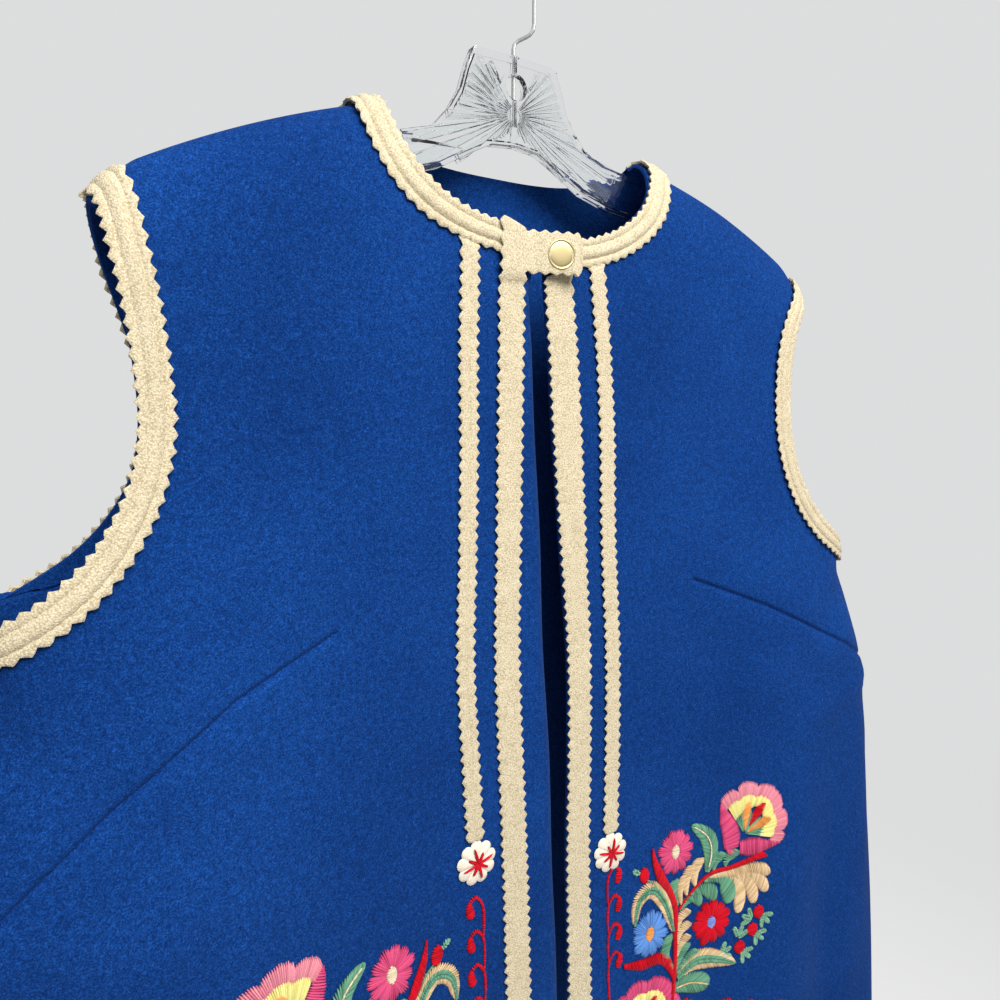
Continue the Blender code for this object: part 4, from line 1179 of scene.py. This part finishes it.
# an oval of parallel stitches
def disc(work, motif, yarn, centre, radiusX, radiusY, lift, turn=0.0):
    count = max(3, round(2 * radiusY / stitch["spacing"]))
    c, s = math.cos(turn), math.sin(turn)
    for i in range(count + 1):
        v = -1 + 2 * i / count
        half = radiusX * math.sqrt(max(0.0, 1 - v * v * 0.96))
        ends = [(centre[0] + u * c - v * radiusY * s, centre[1] + u * s + v * radiusY * c)
                for u in (-half, half)]
        addStitch(work, motif, yarn, *ends, lift)


petalSizes = {"back": 0.42, "closeness": 1.25, "spread": 84, "foot": 0.35, "dome": 0.00035,
              "uneven": 0.05, "root": 0.8, "width": 0.70}


# a petal of straight stitches spread from its root to a round end
def petal(work, motif, yarn, root, tip, wide):
    length = math.dist(root, tip)
    ax, ay = (tip[0] - root[0]) / length, (tip[1] - root[1]) / length
    back, foot = wide * petalSizes["back"], petalSizes["foot"]
    count = max(3, round(wide * petalSizes["closeness"] / stitch["spacing"]))
    for i in range(count + 1):
        turn = (-1 + 2 * i / count) * math.radians(petalSizes["spread"])
        u = math.sin(turn) * wide / 2
        v = length - back + math.cos(turn) * back + random.uniform(-1, 1) * stitch["jitter"]
        addStitch(work, motif, yarn, (root[0] - ay * u * foot, root[1] + ax * u * foot),
                  (root[0] + ax * v - ay * u, root[1] + ay * v + ax * u),
                  petalSizes["dome"] * math.cos(turn))


# round scalloped petals about a centre
def daisy(work, motif, yarn, heart, centre, radiusX, radiusY, petals, heartX, heartY, turn=0.0):
    for k in range(petals):
        angle = 2 * math.pi * (k + 0.5) / petals + turn
        c, s = math.cos(angle), math.sin(angle)
        size = 1.0 + petalSizes["uneven"] * math.sin(k * 2.7 + turn)
        tip = (centre[0] + c * radiusX * size, centre[1] + s * radiusY * size)
        root = (centre[0] + c * heartX * petalSizes["root"],
                centre[1] + s * heartY * petalSizes["root"])
        wide = 2 * math.pi * (radiusX + radiusY) / 2 / petals * petalSizes["width"]
        petal(work, motif, yarn, root, tip, wide)
    disc(work, motif, heart, centre, heartX, heartY, 0.0005, turn * 0.3)


fanSizes = {"closeness": 1.12, "tuck": 0.4, "shortest": 1.0}


# one ring of radial stitches between two scalloped edges of a fan
def fanRing(work, motif, yarn, base, axis, spread, inner, outer, lift=0.0):
    middle = (inner(0.0) + outer(0.0)) / 2
    count = max(4, round(2 * spread * middle * fanSizes["closeness"] / stitch["spacing"]))
    for i in range(count + 1):
        share = -1 + 2 * i / count
        angle = axis + spread * share
        c, s = math.cos(angle), math.sin(angle)
        a = inner(share) - fanSizes["tuck"]
        b = outer(share) + random.uniform(-1, 1) * stitch["jitter"]
        if b - a < fanSizes["shortest"]:
            continue
        addStitch(work, motif, yarn, (base[0] + c * a, base[1] - s * a),
                  (base[0] + c * b, base[1] - s * b), lift)


# where each scallop of a rose ends, as a share of its spread, and how far out it reaches
roseLobes = ((-1.0, -0.80, 0.93), (-0.80, -0.42, 0.98), (-0.42, 0.20, 1.0), (0.20, 0.62, 0.95),
             (0.62, 1.0, 0.90))


# an opened rose seen from the side: nested scalloped fans over two sepals
def rose(work, motif, base, axis, size, colours=("lightPink", "yellow", "deepPink")):
    outside, inside, sepal = colours
    spread = math.radians(75)

    def edge(share, depth):
        for first, last, out in roseLobes:
            if share <= last:
                across = (share - first) / (last - first) * 2 - 1
                return size * out - depth * abs(across) ** 3
        return size * roseLobes[-1][2] - depth

    def place(turn, out):
        return (base[0] + math.cos(axis + turn) * size * out,
                base[1] - math.sin(axis + turn) * size * out)

    fanRing(work, motif, outside, base, axis, spread,
            lambda u: edge(u, 2.0) * 0.70, lambda u: edge(u, size * 0.09))
    fanRing(work, motif, inside, base, axis, spread * 0.92,
            lambda u: edge(u, 0.0) * (0.55 - 0.20 * abs(u)),
            lambda u: edge(u, size * 0.07) * 0.77, 0.0003)
    fanRing(work, motif, "green", base, axis, spread * 0.90,
            lambda u: size * 0.05, lambda u: size * (0.52 - 0.10 * (1 - abs(u))), 0.0002)
    for turn, far, yarn in ((0.50, 0.58, "orange"), (-0.58, 0.60, "orange"), (-0.06, 0.66, "red")):
        petalEnd = (place(turn, 0.08 if yarn == "orange" else 0.17),
                    place(turn * 1.04, far * 0.6), place(turn, far))
        satinBand(work, motif, yarn, petalEnd, roundWidth(size * 0.19, 0.66, 0.10), 0.0006, 0.5)
    left = (place(1.33, 0.80), place(1.50, 0.54), place(1.90, 0.30), place(2.86, 0.32),
            place(3.02, 0.44))
    satinBand(work, motif, sepal, left, taper((0.6, 8.0, 12.4, 13.6, 11.0, 3.0)), 0.0004, 0.1)
    right = (place(-1.30, 0.84), place(-1.52, 0.54), place(-1.92, 0.34), place(-2.80, 0.26))
    satinBand(work, motif, sepal, right, taper((0.6, 6.6, 11.8, 12.6, 8.6)), 0.0004, 0.1)


# three small drop leaves from one root
def sprig(work, motif, root, aim, size=8.4):
    for turn in (-0.74, 0.0, 0.74):
        angle = math.radians(aim) + turn
        near = (root[0] + math.cos(angle) * 0.8, root[1] - math.sin(angle) * 0.8)
        tip = (root[0] + math.cos(angle) * size, root[1] - math.sin(angle) * size)
        mid = ((near[0] + tip[0]) / 2, (near[1] + tip[1]) / 2)
        fishLeaf(work, motif, "mint", (near, mid, tip), roundWidth(2.9, 0.6, 0.2), 0.0, 0.9)


# a club-shaped lobe, narrow at its root and round at its tip
def lobe(work, motif, yarn, root, bend, tip, wide, lift):
    satinBand(work, motif, yarn, (root, bend, tip), roundWidth(wide, 0.76, 0.16), lift, 0.45)


# the hooked vine beside each narrow strip's flower: root, crown and bulb of each hook
def vine(work, first, pitch, hooks):
    for k in range(hooks):
        y = first + pitch * k
        hook = ((41.0, y + 15.5), (40.4, y + 8.0), (41.2, y - 1.0), (45.2, y - 6.2), (49.0, y - 3.6),
                (48.9, y + 1.0))
        satinBand(work, "vine", "red", hook, taper((1.0, 1.2, 1.3, 1.7, 2.4, 3.4)), 0.0001)
        bulb = ((49.2, y - 4.0), (48.9, y + 0.2), (47.4, y + 4.2))
        satinBand(work, "vine", "red", bulb, roundWidth(4.9, 0.6, 0.45), 0.0003)
    y = first + pitch * hooks
    satinBand(work, "vine", "red", ((41.0, y - 2.0), (41.6, y + 5.0), (46.4, y + 12.0)),
              taper((1.2, 1.4, 0.9)))


# lobes of the fan leaf: bend, tip, width
fanLobes = (((137.5, 448.5), (139.8, 471.0), 9.4), ((142.5, 448.0), (151.8, 466.6), 9.2),
            ((146.0, 446.6), (161.0, 460.0), 9.2), ((146.0, 443.4), (162.6, 447.8), 9.0))
# lobes along the stems: yarn, root, bend, tip, width
stemLobes = (
    ("green", (94.4, 457.6), (103.0, 452.4), (111.2, 456.4), 8.4),
    ("green", (102.6, 449.8), (112.6, 449.2), (122.4, 455.2), 10.6),
    ("green", (113.0, 443.6), (126.4, 445.2), (133.6, 461.4), 12.0),
    ("peach", (93.0, 470.0), (94.8, 463.4), (101.6, 459.2), 7.0),
    ("peach", (92.8, 478.4), (95.4, 471.6), (102.2, 467.6), 7.0),
    ("peach", (92.4, 487.0), (95.4, 480.0), (101.6, 475.6), 6.8),
    ("green", (91.8, 496.0), (94.8, 487.6), (100.0, 480.6), 8.6),
    ("green", (92.6, 498.4), (99.0, 492.4), (108.0, 487.6), 6.8),
    ("green", (90.0, 495.0), (83.6, 484.0), (86.4, 471.0), 7.6),
    ("green", (93.0, 453.6), (89.4, 445.4), (90.8, 436.8), 7.4),
    ("peach", (95.4, 454.0), (94.8, 445.0), (97.4, 436.0), 6.0),
    ("peach", (99.4, 449.0), (99.4, 439.4), (103.4, 430.6), 8.0),
    ("peach", (106.0, 445.0), (105.8, 436.4), (110.2, 427.6), 8.4),
    ("green", (120.0, 438.0), (121.4, 433.0), (127.4, 428.0), 7.2),
    ("green", (128.6, 437.4), (130.6, 433.0), (138.0, 428.8), 7.8),
)
# sprigs: root, direction in degrees
sprigs = (((149.0, 478.4), 150), ((138.6, 488.6), 66), ((156.6, 477.2), -50), ((151.6, 488.2), -44),
          ((141.6, 498.4), -42), ((125.8, 496.6), 22))
berries = ((153.8, 473.9), (149.2, 484.9), (139.7, 494.7))
berryRadius = 4.2
# small flowers of the bottom row: place, radius
lowFlowers = ((98.0, 525.0, 7.4), (129.0, 535.6, 8.0), (147.4, 541.0, 7.4), (167.6, 546.4, 8.0))


def spray(work):
    stem = ((74.0, 412.9), (75.2, 420.6), (79.6, 431.6), (86.8, 443.8), (90.8, 456.0), (90.6, 472.0),
            (90.6, 489.0), (89.4, 508.0), (87.0, 528.0))
    branch = ((93.9, 456.4), (103.0, 447.8), (117.4, 439.6), (134.0, 439.2), (158.6, 436.0))
    horn = ((52.4, 480.2), (66.4, 484.0), (79.0, 484.2), (85.4, 489.6), (89.6, 500.6))
    arc = ((89.6, 470.0), (82.8, 449.6), (73.4, 438.6), (63.4, 443.4), (60.4, 456.8))
    low = ((92.4, 501.6), (105.8, 495.2), (120.6, 497.8), (136.8, 505.0))
    for k, (bend, tip, wide) in enumerate(fanLobes):
        lobe(work, "fan", "peach", (117.0, 442.0), bend, tip, wide, 0.00015 * k)
    for k, (yarn, root, bend, tip, wide) in enumerate(stemLobes):
        lobe(work, "leaves", yarn, root, bend, tip, wide, 0.0001 + 0.00008 * (k % 3))
    top = ((114.4, 438.6), (117.8, 426.0), (114.6, 414.6), (103.2, 405.2))
    fishLeaf(work, "topLeaf", "green", top, spindleWidth(11.6, 0.7), 0.0002, 1.0, "ecru")
    fishLeaf(work, "arc", "peach", arc, spindleWidth(10.4, 0.62), 0.0001, 0.9)
    fishLeaf(work, "arc", "green", arc, taper((0.6, 2.6, 4.0, 4.4, 2.6, 0.8)), 0.0007, 0.9)
    fishLeaf(work, "leaves", "peach", low, spindleWidth(13.4, 0.72), 0.0001, 0.9)
    fishLeaf(work, "leaves", "green", low, taper((3.0, 4.6, 5.4, 4.0, 0.6)), 0.0007, 0.9)
    fishLeaf(work, "leaves", "green", ((89.6, 508.4), (103.0, 508.6), (117.8, 514.6)),
             roundWidth(14.0, 0.62, 0.20), 0.0, 0.8, "peach")
    satinBand(work, "stem", "red", stem, taper((0.6, 3.4, 6.4, 4.4, 3.8, 3.4, 2.8, 2.4, 1.8)),
              0.0006, 0.8)
    satinBand(work, "stem", "red", branch, taper((1.2, 1.8, 2.4, 3.2, 4.6)), 0.0006, 0.8)
    satinBand(work, "stem", "red", horn, taper((2.6, 7.4, 8.0, 6.4, 1.6)), 0.0004, 0.4)
    daisy(work, "daisy", "deepPink", "ecru", (91.2, 419.2), 13.0, 14.4, 11, 3.0, 4.2, 0.2)
    daisy(work, "blue", "skyBlue", "orange", (71.8, 466.0), 13.4, 15.0, 11, 3.2, 4.4, 0.5)
    daisy(work, "redDaisy", "red", "violet", (118.2, 472.2), 14.2, 15.0, 11, 3.4, 3.6, 0.0)
    rose(work, "rose", (142.6, 419.0), math.radians(52), 35.4)
    rose(work, "lowRose", (63.6, 526.0), math.radians(62), 34.0, ("deepPink", "yellow", "lightPink"))
    disc(work, "bud", "red", (67.8, 427.6), 3.6, 4.8, 0.0005, -0.15)
    fishLeaf(work, "bud", "mint", ((64.2, 425.6), (62.0, 424.4), (59.6, 422.8)),
             roundWidth(3.0, 0.5, 0.3), 0.0001)
    runningLine(work, "bud", "green", ((70.0, 431.6), (74.6, 434.6), (80.4, 443.0)), 0.0, 1.0, 0.0002)
    for root, aim in sprigs:
        sprig(work, "berries", root, aim)
    for place in berries:
        disc(work, "berries", "red", place, berryRadius, berryRadius, 0.0005)
    for x, y, radius in lowFlowers:
        daisy(work, "low", "red", "yellow", (x, y), radius, radius, 8, 1.9, 1.9, x)
    satinBand(work, "low", "red", ((87.6, 524.0), (108.0, 538.0), (138.0, 548.0), (168.0, 552.0)),
              taper((1.6, 1.8, 1.8, 1.4)), -0.0001)


def sewThreads(name, work):
    curve = bpy.data.curves.new(name, "CURVE")
    curve.dimensions = "3D"
    curve.bevel_depth = stitch["thread"]
    curve.bevel_resolution = 0
    yarns = sorted({thread[0] for thread in work["threads"]})
    middles = []
    for yarn in yarns:
        curve.materials.append(makeFinish("yarn_" + yarn))
    for yarn, start, end, lift, thick in work["threads"]:
        length, tone = math.dist(start, end), random.uniform(stitch["darkest"], 1.0)
        shares = (0.0, 0.16, 0.5, 0.84, 1.0) if length > stitch["long"] else (0.0, 0.25, 0.75, 1.0)
        line = curve.splines.new("POLY")
        line.points.add(len(shares) - 1)
        line.material_index = yarns.index(yarn)
        for point, share in zip(line.points, shares):
            reach = (start[0] + (end[0] - start[0]) * share) / 1000 * work["sign"]
            drop = (start[1] + (end[1] - start[1]) * share) / 1000
            rise = stitch["crown"] * math.sin(math.pi * share) ** 0.6 + lift + stitch["sink"]
            place, normal = clothPoint(work["panel"], reach, drop, rise)
            point.co = (*place, 1.0)
            middles.append((place, normal, tone))
            point.radius = thick * (stitch["endSize"] if share in (0.0, 1.0) else 1.0)
    holder = placeInScene(name + "Lines", curve)
    ready = holder.evaluated_get(bpy.context.evaluated_depsgraph_get())
    mesh = bpy.data.meshes.new_from_object(ready)
    mesh.name = name
    bpy.data.objects.remove(holder, do_unlink=True)
    mesh.shade_smooth()
    ring = len(mesh.vertices) // len(middles)      # points round each thread
    # painted shade: each thread's colour darkens from its crown down its flanks, times a random tone
    # for each stitch
    flankShadeAndTone = mesh.attributes.new("flankShadeAndTone", "FLOAT", "POINT")
    for vert, value in zip(mesh.vertices, flankShadeAndTone.data):
        middle, normal, tone = middles[vert.index // ring]
        value.value = tone * (0.5 + 0.5 * (vert.co - middle).dot(normal) / stitch["thread"])
    print(name, len(work["threads"]), "stitches")
    return ridePiece(name, mesh)


vineSizes = {"top": 422.0, "hooks": 4}
# each front's work: the pitch of the vine's hooks, and how far each motif is moved
workSizes = {
    "left": (17.6, {}),
    "right": (18.4, {"rose": (8.0, -2.0), "fan": (3.0, -3.0), "daisy": (7.0, -1.4),
                     "bud": (4.4, -6.8), "arc": (1.0, -7.5), "stem": (4.2, -2.6),
                     "blue": (0.0, -4.0), "leaves": (3.0, -4.0), "topLeaf": (9.0, -1.0),
                     "vine": (3.0, -15.5)}),
}


def makeEmbroidery():
    made = {}
    for side, (pitch, moves) in workSizes.items():
        made[side] = newWork(side, moves)
        vine(made[side], vineSizes["top"], pitch, vineSizes["hooks"])
        spray(made[side])
    return made


works = makeEmbroidery()
print("stitches planned")

# small flowers at the ends of the narrow strips
flower = {"radius": 0.0118, "height": 0.0022, "lobes": 9, "around": 8, "rings": 9, "notch": 0.17,
          "groove": 0.35, "edgeDrop": 0.75, "clear": 0.0002, "thick": 0.0009, "edgeRound": 0.0003,
          "weld": 0.00004, "rays": (8.8, 6.4, 8.4, 6.8, 9.0, 6.0, 8.6, 6.6), "rayTurn": 0.3,
          "rayHalf": 0.35, "rayLift": 0.0027, "rayThick": 1.1,
          "cut": (0.0236, 0.0236), "area": 0.00042}


def flowerPlace(side):
    drop = vest["stripEnd"][side] + trim["gap"] + flower["radius"]
    return stripValue(side + "Inner", drop), drop


def makeFlower(side):
    reach, drop = flowerPlace(side)
    around = flower["lobes"] * flower["around"]
    bm = bmesh.new()
    bmesh.ops.create_grid(bm, x_segments=around, y_segments=flower["rings"], size=0.5)
    for vert in bm.verts:
        angle, share = (vert.co.x + 0.5) * 2 * math.pi, vert.co.y + 0.5
        lobed = abs(math.cos(flower["lobes"] * angle / 2))
        radius = flower["radius"] * share * (1 - flower["notch"] * (1 - lobed**0.6) * share)
        dome = 1 - share**5 * flower["edgeDrop"]
        hollow = math.sin(math.pi * min(1.0, share * 1.1)) ** 0.5
        groove = flower["groove"] * (1 - lobed) ** 2 * hollow
        lift = trim["clear"] + flower["clear"] + flower["height"] * (dome - groove)
        turn = angle + math.pi / 2
        vert.co = clothPoint(side, reach + math.cos(turn) * radius, drop - math.sin(turn) * radius,
                             lift)[0]
    bmesh.ops.remove_doubles(bm, verts=bm.verts[:], dist=flower["weld"])
    faceTowards(bm, frontwards)
    piece = finishPiece("flower_" + side, bm, makeFinish("whiteWool"))
    thicken(piece, flower["thick"], flower["edgeRound"])
    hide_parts("rosette_" + side)
    return piece


def rayStitches(work, side):
    reach, drop = flowerPlace(side)
    centre = (abs(reach) * 1000, drop * 1000)
    for k, length in enumerate(flower["rays"]):
        angle = 2 * math.pi * (k + flower["rayTurn"]) / len(flower["rays"])
        c, s = math.cos(angle), math.sin(angle)
        for off in (-flower["rayHalf"], flower["rayHalf"]):
            addStitch(work, "rays", "red", (centre[0] - s * off, centre[1] + c * off),
                      (centre[0] + c * length, centre[1] + s * length),
                      flower["rayLift"], flower["rayThick"])


for side in ("right", "left"):
    makeFlower(side)
    rayStitches(works[side], side)
needlework = {side: sewThreads("embroidery_" + side, works[side]) for side in works}
print("embroidery ready")

# the snap's turned cap: radius and height, as shares of its radius
snapProfile = ((0.0, -0.245), (0.40, -0.243), (0.70, -0.236), (0.80, -0.226), (0.835, -0.214),
               (0.86, -0.222), (0.90, -0.262), (0.94, -0.272), (0.98, -0.250), (1.0, -0.185),
               (0.99, -0.09), (0.93, -0.02), (0.80, 0.0), (0.0, 0.0))


def makeSnap():
    base = surface("left", snap["reach"], snap["drop"])
    tilt = tab["tilt"]
    front = base.y - trim["clear"] - trim["thick"] - tab["lift"] - trim["gap"] / math.cos(tilt)
    front -= snap["radius"] * math.sin(tilt)
    bm = bmesh.new()
    verts = [bm.verts.new((radius * snap["radius"], height * snap["radius"], 0.0))
             for radius, height in snapProfile]
    edges = [bm.edges.new(pair) for pair in zip(verts, verts[1:])]
    bmesh.ops.spin(bm, geom=verts + edges, cent=(0, 0, 0), axis=(0, 1, 0), dvec=(0, 0, 0),
                   angle=2 * math.pi, steps=snap["steps"], use_merge=True, use_duplicate=False)
    bmesh.ops.remove_doubles(bm, verts=bm.verts[:], dist=snap["weld"])
    bmesh.ops.rotate(bm, cent=(0, 0, 0), matrix=Matrix.Rotation(-tilt, 3, "Z"), verts=bm.verts[:])
    bmesh.ops.translate(bm, vec=(base.x, front, base.z), verts=bm.verts[:])
    bmesh.ops.recalc_face_normals(bm, faces=bm.faces[:])
    piece = finishPiece("snap_face", bm, makeFinish("brass"))
    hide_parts("snap_cap")


makeSnap()
print("snap ready")

# clear hanger and its hook: ribs spread from under the window, on both faces of the plate
hanger = {"rayCentre": 0.0018, "rays": 38, "rayHeight": 0.0010, "rayShare": 0.42, "webHalf": 0.0015,
          "clear": 0.00006, "windowLevel": 0.0150, "windowRadius": 0.0086, "windowClear": 0.0008,
          "rim": 0.0030, "start": 0.0042, "longest": 0.070, "shortest": 0.004,
          "swingFrom": 0.045, "swingOver": 0.035}
# half outline of the plate: x and height over the datum
plateEdge = ((0.0, 0.0295), (0.0250, 0.0295), (0.0290, 0.0200), (0.0325, 0.0085), (0.0385, -0.0010),
             (0.0475, -0.0095), (0.0595, -0.0165), (0.0730, -0.0195), (0.0865, -0.0205),
             (0.0860, -0.0418), (0.0640, -0.0380), (0.0440, -0.0310), (0.0280, -0.0220),
             (0.0150, -0.0152), (0.0, -0.0137))


# how far the plate goes from the ribs' centre at an angle
def rayReach(sign, angle):
    c, s = math.cos(angle), math.sin(angle)
    best = None
    for (x0, z0), (x1, z1) in zip(plateEdge, plateEdge[1:]):
        x0, x1 = x0 * sign, x1 * sign
        z0, z1 = z0 - hanger["rayCentre"], z1 - hanger["rayCentre"]
        cross = c * (z1 - z0) - s * (x1 - x0)
        if abs(cross) < 1e-9:
            continue
        far = (x0 * (z1 - z0) - z0 * (x1 - x0)) / cross
        share = (x0 * s - z0 * c) / cross
        if far > 0 and 0 <= share <= 1 and (best is None or far < best):
            best = far
    return best


def makeRibs():
    bm = bmesh.new()
    step = 2 * math.pi / hanger["rays"]
    spread = step * hanger["rayShare"]
    for k in range(hanger["rays"]):
        angle = -math.pi / 2 + step * (k + 0.5)
        sign = 1 if math.cos(angle) > 0 else -1
        far = rayReach(sign, angle)
        if far is None:
            continue
        far = min(far - hanger["rim"] / max(0.35, abs(math.cos(angle))), hanger["longest"])
        near = hanger["start"]
        up = hanger["windowLevel"] - hanger["rayCentre"]
        across = up * math.cos(angle)
        if math.sin(angle) > 0 and abs(across) < hanger["windowRadius"]:
            near = up * math.sin(angle) + math.sqrt(hanger["windowRadius"]**2 - across**2)
            near += hanger["windowClear"]
        if far - near < hanger["shortest"]:
            continue
        for face in (-1, 1):
            made = bmesh.ops.create_cone(bm, cap_ends=True, segments=3, depth=far - near,
                                         radius1=near * spread, radius2=far * spread)
            for vert in made["verts"]:
                along = near + (vert.co.z + (far - near) / 2)
                wide = along * spread
                height = (vert.co.x / wide + 0.5) / 1.5 * hanger["rayHeight"] if wide > 0 else 0.0
                x = along * math.cos(angle) - vert.co.y * math.sin(angle)
                z = along * math.sin(angle) + vert.co.y * math.cos(angle)
                swing = shoulderY(x) * ease((abs(x) - hanger["swingFrom"]) / hanger["swingOver"])
                vert.co = (x, face * (hanger["webHalf"] + hanger["clear"] + height) + swing,
                           vest["datumZ"] + hanger["rayCentre"] + z)
    bmesh.ops.recalc_face_normals(bm, faces=bm.faces[:])
    piece = finishPiece("hanger_ribs", bm, plastic, smooth=False)


plastic = makeClearPlastic()
makeRibs()
for node, finish in (("hanger_body", plastic), ("hanger_hook", makeFinish("steel"))):
    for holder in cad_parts[node].material_slots:
        holder.material = finish
print("hanger ready")
